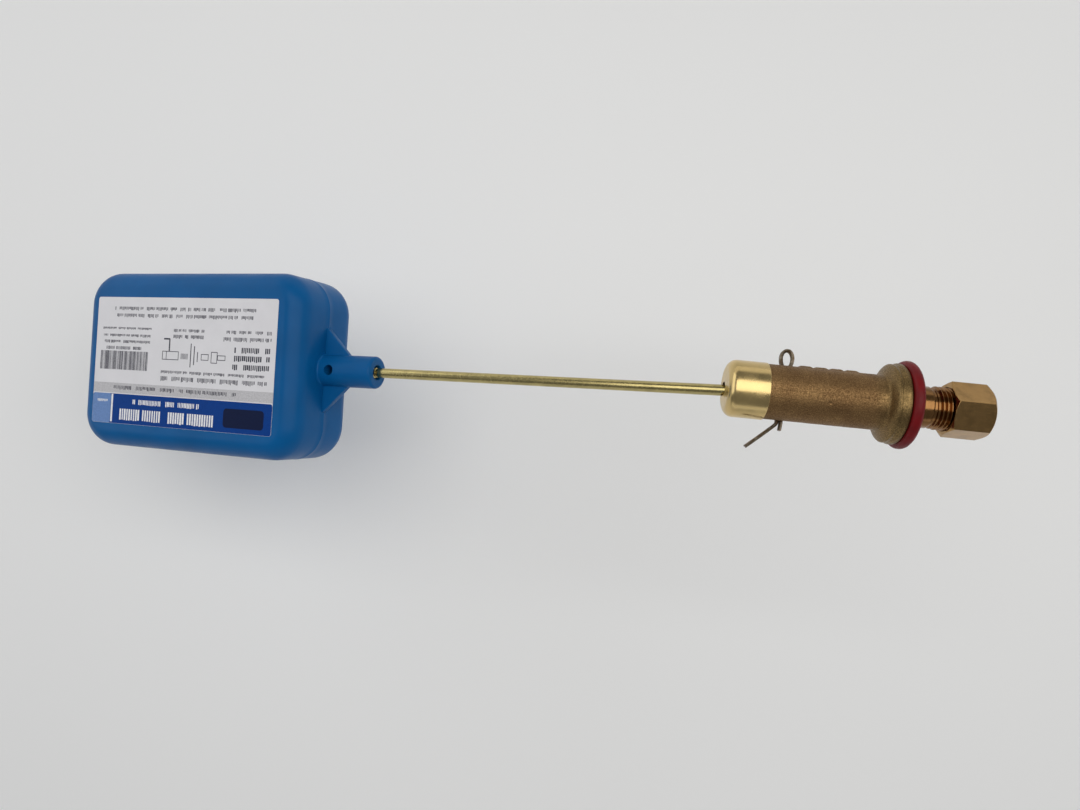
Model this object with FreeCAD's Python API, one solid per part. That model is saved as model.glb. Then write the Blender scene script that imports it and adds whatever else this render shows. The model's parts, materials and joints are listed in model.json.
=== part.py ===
import FreeCAD, Part
import math
import os

# Float valve for a water reservoir: a cast brass valve that clamps in a wall, with a plastic float
# on a long brass rod. The rod swings on a cotter pin and pushes a plunger onto an orifice.
# Millimetres. The origin is the centre of the wall gasket's front face. +X runs out through the
# wall to the supply tube, +Y along the cotter pin to its eye, +Z up.

Vector = FreeCAD.Vector
ORIGIN = Vector(0, 0, 0)
X_AXIS = Vector(1, 0, 0)
Y_AXIS = Vector(0, 1, 0)
Z_AXIS = Vector(0, 0, 1)
INCH = 25.4
THREAD_DEPTH = 0.6134          # depth of an external unified thread, in pitches

# Barrel, measured from the gasket's front face towards the float
barrel_radius = 7.10
barrel_length = 28.1            # from the flange to the rim of the cap
chamber_radius = 5.60           # open outlet end, where the lever swings
guide_radius = 5.00             # bore that guides the plunger
mouth_bevel = 0.40

# Flange and wall gasket
gasket_thickness = 2.70
gasket_radius = 11.35
gasket_edge_round = 1.25
gasket_neck_gap = 0.25
flange_radius = 10.48
rim_width = 2.00
rim_round = 0.35
valley_depth = 0.45
valley_width = 1.00
shoulder_length = 2.60

# Neck and male compression thread, 7/16-24
neck_radius = 5.38
neck_length = 4.50
shank_length = 15.00
thread_radius = 7 / 16 * INCH / 2
thread_pitch = INCH / 24
thread_end_bevel = 0.60

# Water way
tube_radius = INCH / 8          # quarter-inch supply tube
tube_gap = 0.075                # around the tube in the shank, the sleeve and the nut
tube_socket_depth = 10.0
inlet_radius = 2.20
orifice_radius = 0.90
nozzle_lip_radius = 1.70
nozzle_cone_radius = 2.80
nozzle_flange_radius = 3.90
nozzle_shank_radius = 2.60
nozzle_height = 2.60
nozzle_flange_thickness = 0.90
nozzle_shank_length = 4.50

# Compression sleeve and nut
cone_angle = 30.0               # half angle of the seats at both ends of the sleeve
cone_mouth_radius = 4.25
sleeve_wall = 0.80
sleeve_nose = 0.12              # thickness of both thin ends
sleeve_length = 4.20
sleeve_gap = 0.04               # square to the seats
nut_across_flats = INCH / 2
nut_length = 10.00
nut_start = 9.30                # distance from the wall face
nut_thread_gap = 0.08
nut_step_gap = 0.35             # around the sleeve, inside the nut
nut_mouth_bevel = 0.40
nut_end_radius = 6.30           # both end faces, inside the bevelled corners
nut_back_bevel = 0.60
nut_front_bevel = 0.80
nut_turn = 20.0                 # a flat faces this far from +Z towards -Y

# Outlet cap, pressed over the turned spigot at the open end of the barrel
cap_radius = 7.39
cap_wall = 0.40
cap_length = 10.10
cap_corner_radius = 2.50
slot_side_gap = 0.20
slot_end_gap = 0.25

# Cotter pin
pivot_from_cap_rim = 4.90
pivot_drop = 2.20               # the pin is this far below the valve's axis
pin_radius = 0.98
pin_hole_gap = 0.12
pin_split = 0.06
pin_eye_radius = 1.45
pin_wire_radius = 0.48
pin_eye_stand = 1.40
pin_short_prong = 2.70
pin_long_prong = 9.30
pin_bend_angle = 49.0           # turn of the long prong away from the pin's axis
pin_bend_radius = 1.50

# Lever head on the cotter pin
pivot_gap = 0.05
hub_radius = 2.25
lever_width = 5.40
nose_height = 4.20              # centre of the nose above the pivot
nose_reach = 1.60               # centre of the nose towards the seat
nose_radius = 1.30
nose_gap = 0.05
socket_radius = 2.50
socket_start = 1.20
socket_end = 7.60

# Plunger and its rubber washer
plunger_gap = 0.05
plunger_length = 6.20
plunger_flat_depth = 0.85
plunger_flats = 3
washer_radius = 3.55
washer_thickness = 2.00
washer_stand = 0.40
plunger_travel = 1.00

# Float arm
droop = 18.5                    # rod below level at the lower stop
lift = 14.0                     # swing from the lower stop to the closed valve
rod_offset = 2.09               # rod axis above the pivot, square to the rod
rod_radius = 1.50
rod_grip = 2.60                 # rod end from the pivot, inside the lever head
rod_thread_radius = 1.75
rod_thread_pitch = INCH / 32
rod_thread_length = 13.5
rod_thread_show = 0.60          # thread that shows before the boss
rod_end_bevel = 0.30

# Float
float_reach = 138.5             # from the pivot to the float's near wall
float_length = 88.3
float_width = 58.7
float_thickness = 29.5
float_corner_radius = 11.1
float_edge_radius = 6.1
float_wall = 1.60
float_roll = 7.0                # turn about the rod, +Y side up
boss_radius = 5.03
boss_length = 18.8
boss_bevel = 0.90
boss_mouth_radius = 2.30
boss_mouth_depth = 1.80
boss_floor = 2.20
boss_hole_radius = 1.60
boss_hole_place = 4.10
rib_reach = 9.0
rib_spread = 8.5
rib_thickness = 2.20

# Label
label_length = 73.8
label_width = 42.0
label_thickness = 0.12
label_corner = 0.80
label_shift_along = 0.80
label_shift_across = -0.55

# Places that follow from the sizes above
flange_front = -gasket_thickness
rim_back = flange_front - rim_width
valley_back = rim_back - valley_width
flange_back = valley_back - shoulder_length
cap_rim = flange_back - barrel_length
cap_end = cap_rim - cap_length
spigot_end = cap_end + cap_corner_radius
spigot_radius = cap_radius - cap_wall
pivot_x = cap_rim + pivot_from_cap_rim
pivot_z = -pivot_drop
pivot = Vector(pivot_x, 0, pivot_z)
nose_front = pivot_x + nose_reach + nose_radius
plunger_back = nose_front + nose_gap
plunger_front = plunger_back + plunger_length
washer_front = plunger_front + washer_stand
nozzle_tip = washer_front + plunger_travel
nozzle_base = nozzle_tip + nozzle_height
guide_start = plunger_back - 0.5
nozzle_end = nozzle_base + nozzle_flange_thickness + nozzle_shank_length
tube_bore_radius = tube_radius + tube_gap
tube_stop = shank_length - tube_socket_depth
seat_slope = math.tan(math.radians(cone_angle))
sleeve_end_gap = sleeve_gap / math.sin(math.radians(cone_angle))
sleeve_radius = tube_bore_radius + sleeve_wall
sleeve_edge_radius = tube_bore_radius + sleeve_nose
sleeve_start = shank_length - (cone_mouth_radius - sleeve_edge_radius) / seat_slope + sleeve_end_gap
sleeve_end = sleeve_start + sleeve_length


def lathe(start, *steps):
    """Turn an outline of (x, radius) points about the X axis.

    A step is the next point, or a pair (middle, end) for an arc.
    """
    def place(point):
        return Vector(point[0], 0, point[1])

    edges = []
    here = start
    for step in steps:
        if isinstance(step[0], tuple):
            middle, end = step
            edges.append(Part.Arc(place(here), place(middle), place(end)).toShape())
        else:
            end = step
            edges.append(Part.LineSegment(place(here), place(end)).toShape())
        here = end
    edges.append(Part.LineSegment(place(here), place(start)).toShape())
    return Part.Face(Part.Wire(edges)).revolve(ORIGIN, X_AXIS, 360)


def rod_along_x(radius, x_from, x_to):
    """Cylinder about the X axis."""
    return Part.makeCylinder(radius, x_to - x_from, Vector(x_from, 0, 0), X_AXIS)


def box(x_range, y_range, z_range):
    """Box between pairs of limits."""
    sides = [high - low for low, high in (x_range, y_range, z_range)]
    return Part.makeBox(*sides, Vector(x_range[0], y_range[0], z_range[0]))


def turned_about(shape, centre, axis, angle):
    """Copy of a shape, turned about an axis."""
    moved = shape.copy()
    moved.rotate(centre, axis, angle)
    return moved


def thread_outline(crest_radius, pitch, x_from, x_to, bevel):
    """Outline points of ring-shaped thread crests along X, lower at both ends."""
    depth = THREAD_DEPTH * pitch
    count = int((x_to - x_from) / pitch)
    first = x_from + (x_to - x_from - count * pitch) / 2
    points = [(x_from, crest_radius - depth)]
    for index in range(count):
        middle = first + (index + 0.5) * pitch
        edge = min(middle - x_from, x_to - middle)
        crest = crest_radius - max(0, bevel - edge)
        points.append((middle - pitch * 0.44, crest_radius - depth))
        points.append((middle - pitch * 0.08, crest))
        points.append((middle + pitch * 0.08, crest))
        points.append((middle + pitch * 0.44, crest_radius - depth))
    points.append((x_to, crest_radius - depth))
    return points


def rod_height(distance, angle):
    """Height of the rod's axis at a distance from the pivot along -X, drooping by angle."""
    tilt = math.radians(angle)
    return pivot_z + rod_offset / math.cos(tilt) - distance * math.tan(tilt)


def rod_half_height(angle):
    """Half the rod's height on an upright cut, when it droops by angle."""
    return rod_radius / math.cos(math.radians(angle))


def drooped(shape):
    """Arm piece, drawn with the rod level along -X, brought to the lower stop."""
    return turned_about(shape, pivot, Y_AXIS, -droop)


def arm_cylinder(radius, reach_from, reach_to):
    """Cylinder on the level rod's axis, between two distances from the pivot."""
    start = Vector(pivot_x - reach_from, 0, pivot_z + rod_offset)
    return Part.makeCylinder(radius, reach_to - reach_from, start, -X_AXIS)


def make_valve_body():
    """Casting: barrel, flange and shank, with the chamber, guide bore and water way."""
    shoulder_radius = flange_radius - valley_depth / 2
    valley_radius = flange_radius - valley_depth
    shoulder_peak = valley_back - shoulder_length * 0.10
    outer = lathe(
        (spigot_end, 0),
        (spigot_end, spigot_radius - mouth_bevel),
        (spigot_end + mouth_bevel, spigot_radius),
        (cap_rim, spigot_radius),
        (cap_rim, barrel_radius),
        (flange_back - 0.4, barrel_radius),
        ((flange_back + 0.42, barrel_radius + 0.40), (flange_back + 0.95, barrel_radius + 1.35)),
        ((valley_back - shoulder_length * 0.40, shoulder_radius - 0.40), (shoulder_peak, shoulder_radius)),
        ((valley_back + valley_width * 0.45, valley_radius), (rim_back + 0.25, flange_radius - 0.12)),
        ((rim_back + rim_width * 0.45, flange_radius), (flange_front - rim_round, flange_radius - 0.10)),
        (flange_front, flange_radius - 0.10 - rim_round),
        (flange_front, neck_radius),
        (neck_length, neck_radius),
        *thread_outline(thread_radius, thread_pitch, neck_length, shank_length, thread_end_bevel),
        (shank_length, 0),
    )
    cone_depth = (cone_mouth_radius - tube_bore_radius) / seat_slope
    water_way = lathe(
        (spigot_end - 1, 0),
        (spigot_end - 1, chamber_radius),
        (guide_start, chamber_radius),
        (guide_start + chamber_radius - guide_radius, guide_radius),
        (nozzle_base, guide_radius),
        (nozzle_base, nozzle_flange_radius),
        (nozzle_base + nozzle_flange_thickness, nozzle_flange_radius),
        (nozzle_base + nozzle_flange_thickness, nozzle_shank_radius),
        (nozzle_end, nozzle_shank_radius),
        (nozzle_end, inlet_radius),
        (tube_stop, inlet_radius),
        (tube_stop, tube_bore_radius),
        (shank_length - cone_depth, tube_bore_radius),
        (shank_length, cone_mouth_radius),
        (shank_length + 1, cone_mouth_radius),
        (shank_length + 1, 0),
    )
    body = outer.cut(water_way)
    body = body.cut(pin_bore(pin_radius + pin_hole_gap, barrel_radius + 1))
    return body.cut(rod_notch())


def pin_bore(radius, half_length):
    """Cylinder on the pivot axis."""
    start = Vector(pivot_x, -half_length, pivot_z)
    return Part.makeCylinder(radius, 2 * half_length, start, Y_AXIS)


def rod_notch():
    """Notch in the lower lip of the barrel, where the drooping rod passes."""
    half_width = rod_radius + slot_side_gap
    floor = rod_height(pivot_x - spigot_end, droop) - rod_half_height(droop) - slot_end_gap
    reach = (chamber_radius + floor) / math.tan(math.radians(droop))
    notch_length = max(0.5, -reach) + slot_end_gap
    return box((spigot_end - 1, spigot_end + notch_length), (-half_width, half_width), (floor, 0))


def make_outlet_cap():
    """Drawn cup with a round-topped slot, from above the raised rod to below the drooped rod."""
    def cup(radius, corner, end):
        across = corner * (1 - math.sqrt(0.5))
        return lathe(
            (end, 0),
            (end, radius - corner),
            ((end + across, radius - across), (end + corner, radius)),
            (cap_rim, radius),
            (cap_rim, 0),
        )

    shell = cup(cap_radius, cap_corner_radius, cap_end)
    shell = shell.cut(cup(spigot_radius, cap_corner_radius - cap_wall, cap_end + cap_wall))
    half_width = rod_radius + slot_side_gap
    distance = pivot_x - cap_end
    raised = droop - lift
    top = rod_height(distance - cap_wall, raised) + rod_half_height(raised) + slot_end_gap
    bottom = rod_height(distance, droop) - rod_half_height(droop) - slot_end_gap
    reach = (cap_end - 1, cap_end + cap_corner_radius)
    slot = box(reach, (-half_width, half_width), (bottom, top - half_width))
    round_top = Part.makeCylinder(
        half_width, reach[1] - reach[0], Vector(reach[0], 0, top - half_width), X_AXIS,
    )
    return shell.cut(slot.fuse(round_top))


def make_wall_gasket():
    """Flat ring with a rounded outer edge."""
    inner = neck_radius + gasket_neck_gap
    corner = gasket_edge_round
    across = corner * (1 - math.sqrt(0.5))
    return lathe(
        (flange_front, inner),
        (flange_front, gasket_radius - corner),
        ((flange_front + across, gasket_radius - across), (flange_front + corner, gasket_radius)),
        (-corner, gasket_radius),
        ((-across, gasket_radius - across), (0, gasket_radius - corner)),
        (0, inner),
    )


def make_orifice_seat():
    """Nozzle with a raised lip, pressed into the web behind the plunger."""
    return lathe(
        (nozzle_tip, orifice_radius),
        (nozzle_tip, nozzle_lip_radius - 0.3),
        (nozzle_tip + 0.3, nozzle_lip_radius),
        (nozzle_base - 0.6, nozzle_cone_radius),
        (nozzle_base, nozzle_flange_radius),
        (nozzle_base + nozzle_flange_thickness, nozzle_flange_radius),
        (nozzle_base + nozzle_flange_thickness, nozzle_shank_radius),
        (nozzle_end, nozzle_shank_radius),
        (nozzle_end, orifice_radius),
    )


def make_compression_sleeve():
    """Ferrule, tapered at both ends."""
    taper = (sleeve_radius - sleeve_edge_radius) / seat_slope
    return lathe(
        (sleeve_start, tube_bore_radius),
        (sleeve_start, sleeve_edge_radius),
        (sleeve_start + taper, sleeve_radius),
        (sleeve_end - taper, sleeve_radius),
        (sleeve_end, sleeve_edge_radius),
        (sleeve_end, tube_bore_radius),
    )


def make_compression_nut():
    """Hexagonal nut: bevelled corners, bore for the thread and cone for the sleeve."""
    corner_radius = nut_across_flats / 2 / math.cos(math.pi / 6)
    nut_end = nut_start + nut_length
    envelope = lathe(
        (nut_start, 0),
        (nut_start, nut_end_radius),
        (nut_start + nut_back_bevel, corner_radius),
        (nut_end - nut_front_bevel, corner_radius),
        (nut_end, nut_end_radius),
        (nut_end, 0),
    )
    corners = []
    for index in range(7):
        angle = math.radians(60 * index + nut_turn)
        corners.append(Vector(nut_start, corner_radius * math.cos(angle), corner_radius * math.sin(angle)))
    prism = Part.Face(Part.makePolygon(corners)).extrude(X_AXIS * nut_length)
    bore = thread_radius + nut_thread_gap
    step_radius = sleeve_radius + nut_step_gap
    seat_end = sleeve_end + sleeve_end_gap
    step_place = seat_end - (step_radius - sleeve_edge_radius) / seat_slope
    hole_place = seat_end + (sleeve_edge_radius - tube_bore_radius) / seat_slope
    inside = lathe(
        (nut_start - 1, 0),
        (nut_start - 1, bore + nut_mouth_bevel),
        (nut_start, bore + nut_mouth_bevel),
        (nut_start + nut_mouth_bevel, bore),
        (step_place - (bore - step_radius), bore),
        (step_place, step_radius),
        (hole_place, tube_bore_radius),
        (nut_end + 1, tube_bore_radius),
        (nut_end + 1, 0),
    )
    return prism.common(envelope).cut(inside)


def make_cotter_pin():
    """Split pin of half-round wire: eye, two legs, short straight prong and long bent prong."""
    wall_y = math.sqrt(barrel_radius ** 2 - pivot_drop ** 2)
    eye_centre = wall_y + pin_eye_stand + pin_eye_radius + pin_wire_radius
    leg_start = eye_centre - pin_eye_radius
    short_end = -wall_y - pin_short_prong
    bend_start = -wall_y - 0.35

    def half_disc(side):
        """Half-round section in the XZ plane, its flat towards the other leg."""
        flat = side * pin_split / 2
        reach = math.sqrt(pin_radius ** 2 - flat ** 2)
        top = Vector(flat, 0, reach)
        bottom = Vector(flat, 0, -reach)
        rim = Part.Arc(top, Vector(side * pin_radius, 0, 0), bottom).toShape()
        return Part.Face(Part.Wire([rim, Part.LineSegment(bottom, top).toShape()]))

    def leg(side, y_from, y_to):
        section = half_disc(side)
        section.translate(Vector(0, y_from, 0))
        return section.extrude(Y_AXIS * (y_to - y_from))

    short_leg = leg(1, leg_start, short_end)
    long_leg = leg(-1, leg_start, bend_start)
    section = half_disc(-1)
    section.translate(Vector(0, bend_start, 0))
    hinge_line = Vector(-pin_radius - pin_bend_radius, bend_start, 0)
    bend = section.revolve(hinge_line, Z_AXIS, -pin_bend_angle)
    turned_section = turned_about(section, hinge_line, Z_AXIS, -pin_bend_angle)
    angle = math.radians(pin_bend_angle)
    heading = Vector(-math.sin(angle), -math.cos(angle), 0)
    tail = turned_section.extrude(heading * pin_long_prong)

    eye = Part.makeTorus(pin_eye_radius, pin_wire_radius, Vector(0, eye_centre, 0), Z_AXIS)
    pin = short_leg.fuse([long_leg, bend, tail, eye]).removeSplitter()
    pin.translate(pivot)
    return pin


def make_lever_head():
    """Rocker: hub on the pin, nose above it and socket for the rod."""
    half = lever_width / 2
    hub = Part.makeCylinder(hub_radius, lever_width, Vector(pivot_x, -half, pivot_z), Y_AXIS)
    nose_centre = pivot + Vector(nose_reach, 0, nose_height)
    nose = Part.makeCylinder(nose_radius, lever_width, nose_centre - Y_AXIS * half, Y_AXIS)
    rise = Vector(nose_reach, 0, nose_height)
    across = rise.cross(Y_AXIS).normalize()
    web_corners = [
        pivot + across * hub_radius * 0.9,
        nose_centre + across * nose_radius * 0.9,
        nose_centre - across * nose_radius * 0.9,
        pivot - across * hub_radius * 0.9,
    ]
    web = Part.Face(Part.makePolygon(web_corners + web_corners[:1]))
    web.translate(-Y_AXIS * half)
    web = web.extrude(Y_AXIS * lever_width)
    socket = drooped(arm_cylinder(socket_radius, socket_start, socket_end))
    head = hub.fuse([nose, web, socket]).removeSplitter()
    head = head.cut(pin_bore(pin_radius + pivot_gap, lever_width))
    return head.cut(drooped(arm_cylinder(rod_radius, rod_grip, socket_end + 1)))


def make_float_rod():
    """Long rod with a rolled thread where it screws into the float's boss."""
    thread_start = float_reach - boss_length - rod_thread_show
    thread_end = thread_start + rod_thread_length
    rod = lathe(
        (rod_grip, 0),
        (rod_grip, rod_radius),
        (thread_start, rod_radius),
        *thread_outline(rod_thread_radius, rod_thread_pitch, thread_start, thread_end, rod_end_bevel),
        (thread_end, 0),
    )
    rod.rotate(ORIGIN, Z_AXIS, 180)
    rod.translate(Vector(pivot_x, 0, pivot_z + rod_offset))
    return drooped(rod)


def rounded_block(length, width, thickness, corner, edge, centre):
    """Block with rounded upright corners and rounded rims."""
    block = Part.makeBox(length, width, thickness, centre - Vector(length, width, thickness) * 0.5)
    upright = [each for each in block.Edges if abs(each.tangentAt(each.FirstParameter).z) > 0.9]
    block = block.makeFillet(corner, upright)
    rims = []
    for each in block.Edges:
        if each.BoundBox.ZLength < 1e-6:
            rims.append(each)
    return block.makeFillet(edge, rims)


def in_float_frame(shape):
    """Piece of the float, drawn level, rolled about the rod and drooped."""
    rod_line = Vector(pivot_x, 0, pivot_z + rod_offset)
    return drooped(turned_about(shape, rod_line, X_AXIS, float_roll))


def make_float_shells():
    """Two moulded halves that meet at the seam, each with half of the boss and ribs."""
    near_wall = pivot_x - float_reach
    level = pivot_z + rod_offset
    centre = Vector(near_wall - float_length / 2, 0, level)
    body = rounded_block(
        float_length, float_width, float_thickness, float_corner_radius, float_edge_radius, centre,
    )
    bevel_start = float_reach - boss_length + boss_bevel
    boss = arm_cylinder(boss_radius, bevel_start, float_reach + float_wall / 2)
    nose = Part.makeCone(
        boss_radius - boss_bevel, boss_radius, boss_bevel,
        Vector(pivot_x - bevel_start + boss_bevel, 0, level), -X_AXIS,
    )
    rib_corners = [
        Vector(near_wall - float_wall / 2, -boss_radius - rib_spread, level - rib_thickness / 2),
        Vector(near_wall, -boss_radius - rib_spread, level - rib_thickness / 2),
        Vector(near_wall + rib_reach, -boss_radius + 0.6, level - rib_thickness / 2),
        Vector(near_wall + rib_reach, boss_radius - 0.6, level - rib_thickness / 2),
        Vector(near_wall, boss_radius + rib_spread, level - rib_thickness / 2),
        Vector(near_wall - float_wall / 2, boss_radius + rib_spread, level - rib_thickness / 2),
    ]
    ribs = Part.Face(Part.makePolygon(rib_corners + rib_corners[:1])).extrude(Z_AXIS * rib_thickness)
    body = body.fuse([boss, nose, ribs]).removeSplitter()

    inner = [size - 2 * float_wall for size in (float_length, float_width, float_thickness)]
    hollow = rounded_block(
        *inner, float_corner_radius - float_wall, float_edge_radius - float_wall, centre,
    )
    bore = arm_cylinder(rod_thread_radius, float_reach - boss_length, float_reach - boss_floor)
    mouth = arm_cylinder(
        boss_mouth_radius, float_reach - boss_length - 1, float_reach - boss_length + boss_mouth_depth,
    )
    side_hole = Part.makeCylinder(
        boss_hole_radius, boss_radius + 1, Vector(near_wall + boss_hole_place, 0, level), Z_AXIS,
    )
    body = body.cut([hollow, bore, mouth, side_hole])

    margin = float_width
    span = ((near_wall - float_length - margin, near_wall + boss_length + margin), (-margin, margin))
    above = box(*span, (level, level + margin))
    below = box(*span, (level - margin, level))
    return in_float_frame(body.common(above)), in_float_frame(body.common(below))


def make_float_label():
    """Thin sheet with rounded corners on the float's upper face."""
    corner = Vector(
        pivot_x - float_reach - float_length / 2 - label_shift_along - label_length / 2,
        label_shift_across - label_width / 2,
        pivot_z + rod_offset + float_thickness / 2,
    )
    sheet = Part.makeBox(label_length, label_width, label_thickness, corner)
    upright = [each for each in sheet.Edges if abs(each.tangentAt(each.FirstParameter).z) > 0.9]
    return in_float_frame(sheet.makeFillet(label_corner, upright))


def make_plunger():
    """Piston with flats for the water to pass and a cup for the washer."""
    radius = guide_radius - plunger_gap
    piston = lathe(
        (plunger_back, 0),
        (plunger_back, radius - 0.3),
        (plunger_back + 0.3, radius),
        (plunger_front - 0.4, radius),
        (plunger_front, radius - 0.4),
        (plunger_front, 0),
    )
    flat_height = radius - plunger_flat_depth
    for index in range(plunger_flats):
        side = box((plunger_back - 1, plunger_front + 1), (-radius, radius), (flat_height, radius + 1))
        piston = piston.cut(turned_about(side, ORIGIN, X_AXIS, 360 / plunger_flats * index))
    return piston.cut(rod_along_x(washer_radius, washer_front - washer_thickness, plunger_front + 1))


def make_seat_washer():
    """Rubber disc in the plunger's cup."""
    return rod_along_x(washer_radius, washer_front - washer_thickness, washer_front)


def main():
    """Build every piece and write one file for each."""
    upper_shell, lower_shell = make_float_shells()
    pieces = {
        "valve_body": make_valve_body(),
        "orifice_seat": make_orifice_seat(),
        "outlet_cap": make_outlet_cap(),
        "cotter_pin": make_cotter_pin(),
        "wall_gasket": make_wall_gasket(),
        "compression_sleeve": make_compression_sleeve(),
        "compression_nut": make_compression_nut(),
        "plunger": make_plunger(),
        "seat_washer": make_seat_washer(),
        "lever_head": make_lever_head(),
        "float_rod": make_float_rod(),
        "float_upper_shell": upper_shell,
        "float_lower_shell": lower_shell,
        "float_label": make_float_label(),
    }
    os.makedirs("parts", exist_ok=True)
    for name, shape in pieces.items():
        shape.exportStep(f"parts/{name}.step")
        print(name, len(shape.Solids), "valid", shape.isValid(), "volume", round(shape.Volume, 2))


main()
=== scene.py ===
import json
import math

import bmesh
import bpy
from mathutils import Matrix, Vector, noise

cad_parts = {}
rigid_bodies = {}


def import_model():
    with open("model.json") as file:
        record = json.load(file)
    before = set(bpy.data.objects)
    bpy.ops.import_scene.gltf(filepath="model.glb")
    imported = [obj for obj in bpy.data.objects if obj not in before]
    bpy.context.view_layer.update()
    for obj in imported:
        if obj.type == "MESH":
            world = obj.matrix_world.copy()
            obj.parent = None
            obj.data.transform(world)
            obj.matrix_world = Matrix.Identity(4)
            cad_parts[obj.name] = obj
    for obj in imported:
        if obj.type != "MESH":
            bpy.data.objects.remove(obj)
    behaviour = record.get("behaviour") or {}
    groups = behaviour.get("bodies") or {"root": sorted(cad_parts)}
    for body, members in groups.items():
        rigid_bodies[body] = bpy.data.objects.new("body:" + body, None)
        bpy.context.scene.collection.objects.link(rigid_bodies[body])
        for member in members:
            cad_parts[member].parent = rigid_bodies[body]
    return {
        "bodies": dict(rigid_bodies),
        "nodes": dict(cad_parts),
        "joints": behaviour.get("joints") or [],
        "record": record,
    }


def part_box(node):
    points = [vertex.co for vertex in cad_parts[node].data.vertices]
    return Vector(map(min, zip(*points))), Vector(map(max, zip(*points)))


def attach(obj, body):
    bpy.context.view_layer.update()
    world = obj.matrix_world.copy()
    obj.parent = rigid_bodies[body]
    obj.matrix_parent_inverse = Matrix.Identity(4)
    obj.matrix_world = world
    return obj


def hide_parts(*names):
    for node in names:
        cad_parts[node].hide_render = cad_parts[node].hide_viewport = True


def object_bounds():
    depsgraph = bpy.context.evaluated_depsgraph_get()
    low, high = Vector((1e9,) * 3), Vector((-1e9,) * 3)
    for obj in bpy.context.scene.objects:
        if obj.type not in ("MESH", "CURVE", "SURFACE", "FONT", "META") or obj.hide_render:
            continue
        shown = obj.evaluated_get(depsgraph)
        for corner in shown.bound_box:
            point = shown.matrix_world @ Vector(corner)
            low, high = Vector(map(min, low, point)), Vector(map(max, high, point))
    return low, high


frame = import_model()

bl_info = {
    "name": "Float Valve",
    "version": (1, 0, 0),
    "blender": (4, 5, 0),
    "location": "View3D > Sidebar > Float Valve",
    "description": "Builds the visible pieces of a brass float valve around its packed frame",
    "category": "Object",
}

MM = 0.001
X_AXIS = Vector((1, 0, 0))
Y_AXIS = Vector((0, 1, 0))
Z_AXIS = Vector((0, 0, 1))
INCH = 25.4 * MM
THREAD_DEPTH = 0.6134          # depth of an external unified thread, in pitches
HALF_RIDGE = 0.46              # half the width of a thread's ridge, in pitches
QUARTERS = ((1, 1), (-1, 1), (-1, -1), (1, -1))
CAD_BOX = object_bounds()
JOINTS = {joint["name"]: joint for joint in frame["joints"]}
PIVOT = Vector(JOINTS["float_swing"]["pos_m"])


def low(node, axis):
    """Lowest X, Y or Z of a node at rest."""
    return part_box(node)[0][axis]


def high(node, axis):
    """Highest X, Y or Z of a node at rest."""
    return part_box(node)[1][axis]


def length_setting(name, description, default):
    """A length in metres that a user may change."""
    return bpy.props.FloatProperty(
        name=name, description=description, default=default, unit="LENGTH", precision=5,
    )


def count_setting(name, description, default):
    """A whole number that a user may change."""
    return bpy.props.IntProperty(name=name, description=description, default=default, min=1)


def angle_setting(name, description, degrees):
    """An angle that a user may change."""
    return bpy.props.FloatProperty(
        name=name, description=description, default=math.radians(degrees), unit="ROTATION",
    )


def colour_setting(name, description, default):
    """A linear colour that a user may change."""
    return bpy.props.FloatVectorProperty(
        name=name, description=description, default=default, size=3, subtype="COLOR", min=0, max=1,
    )


class ValveSizes(bpy.types.PropertyGroup):
    """Sizes of the cast body, its cap, gasket, nut and pin"""

    barrel_radius: length_setting("Barrel radius", "Outside of the cast barrel", 7.10 * MM)
    chamber_radius: length_setting("Chamber radius", "Open bore at the outlet end", 5.60 * MM)
    guide_radius: length_setting("Guide radius", "Bore that guides the plunger", 5.00 * MM)
    flange_radius: length_setting("Flange radius", "Outside of the flange", 10.48 * MM)
    rim_width: length_setting("Rim width", "Length of the flange's front band", 1.90 * MM)
    valley_width: length_setting("Valley width", "Length of the hollow behind the rim", 0.90 * MM)
    valley_depth: length_setting("Valley depth", "Depth of the hollow behind the rim", 0.42 * MM)
    shoulder_length: length_setting("Shoulder length", "Length of the flared shoulder", 1.90 * MM)
    neck_radius: length_setting("Neck radius", "Plain neck in front of the gasket", 5.38 * MM)
    neck_length: length_setting("Neck length", "Plain length of the neck", 4.50 * MM)
    thread_radius: length_setting("Thread radius", "Crest of the 7/16-24 thread", 5.556 * MM)
    thread_pitch: length_setting("Thread pitch", "Advance of the thread in one turn", INCH / 24)
    tube_radius: length_setting("Tube socket radius", "Bore for the supply tube", 3.25 * MM)
    inlet_radius: length_setting("Inlet radius", "Water way behind the tube", 2.20 * MM)
    socket_depth: length_setting("Tube socket depth", "From the shank's end to the tube's stop", 10.0 * MM)
    grain_height: length_setting("Casting grain", "Height of the sand-cast surface's bumps", 0.050 * MM)
    pad_height: length_setting("Pad height", "Height of the plain raised pads on the barrel", 0.36 * MM)
    pad_count: count_setting("Pads", "Plain raised pads in a row along the barrel", 4)
    cap_wall: length_setting("Cap wall", "Sheet thickness of the outlet cap", 0.40 * MM)
    cap_corner: length_setting("Cap corner", "Outside corner radius of the outlet cap", 2.50 * MM)
    pin_radius: length_setting("Pin radius", "Radius of the closed cotter pin", 0.98 * MM)
    pin_eye_radius: length_setting("Eye radius", "Middle of the wire around the pin's eye", 1.38 * MM)
    pin_bend: angle_setting("Pin bend", "Turn of the long prong", 49)
    nut_flats: length_setting("Nut across flats", "Distance between two flats of the nut", 12.7 * MM)
    nut_end_radius: length_setting("Nut end radius", "End faces, inside the bevelled corners", 6.30 * MM)
    nut_back_bevel: length_setting("Nut back bevel", "Length of the bevel at the back", 0.60 * MM)
    nut_front_bevel: length_setting("Nut front bevel", "Length of the bevel at the front", 0.80 * MM)
    nut_turn: angle_setting("Nut turn", "Turn of the nut on the shank", 20)


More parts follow.
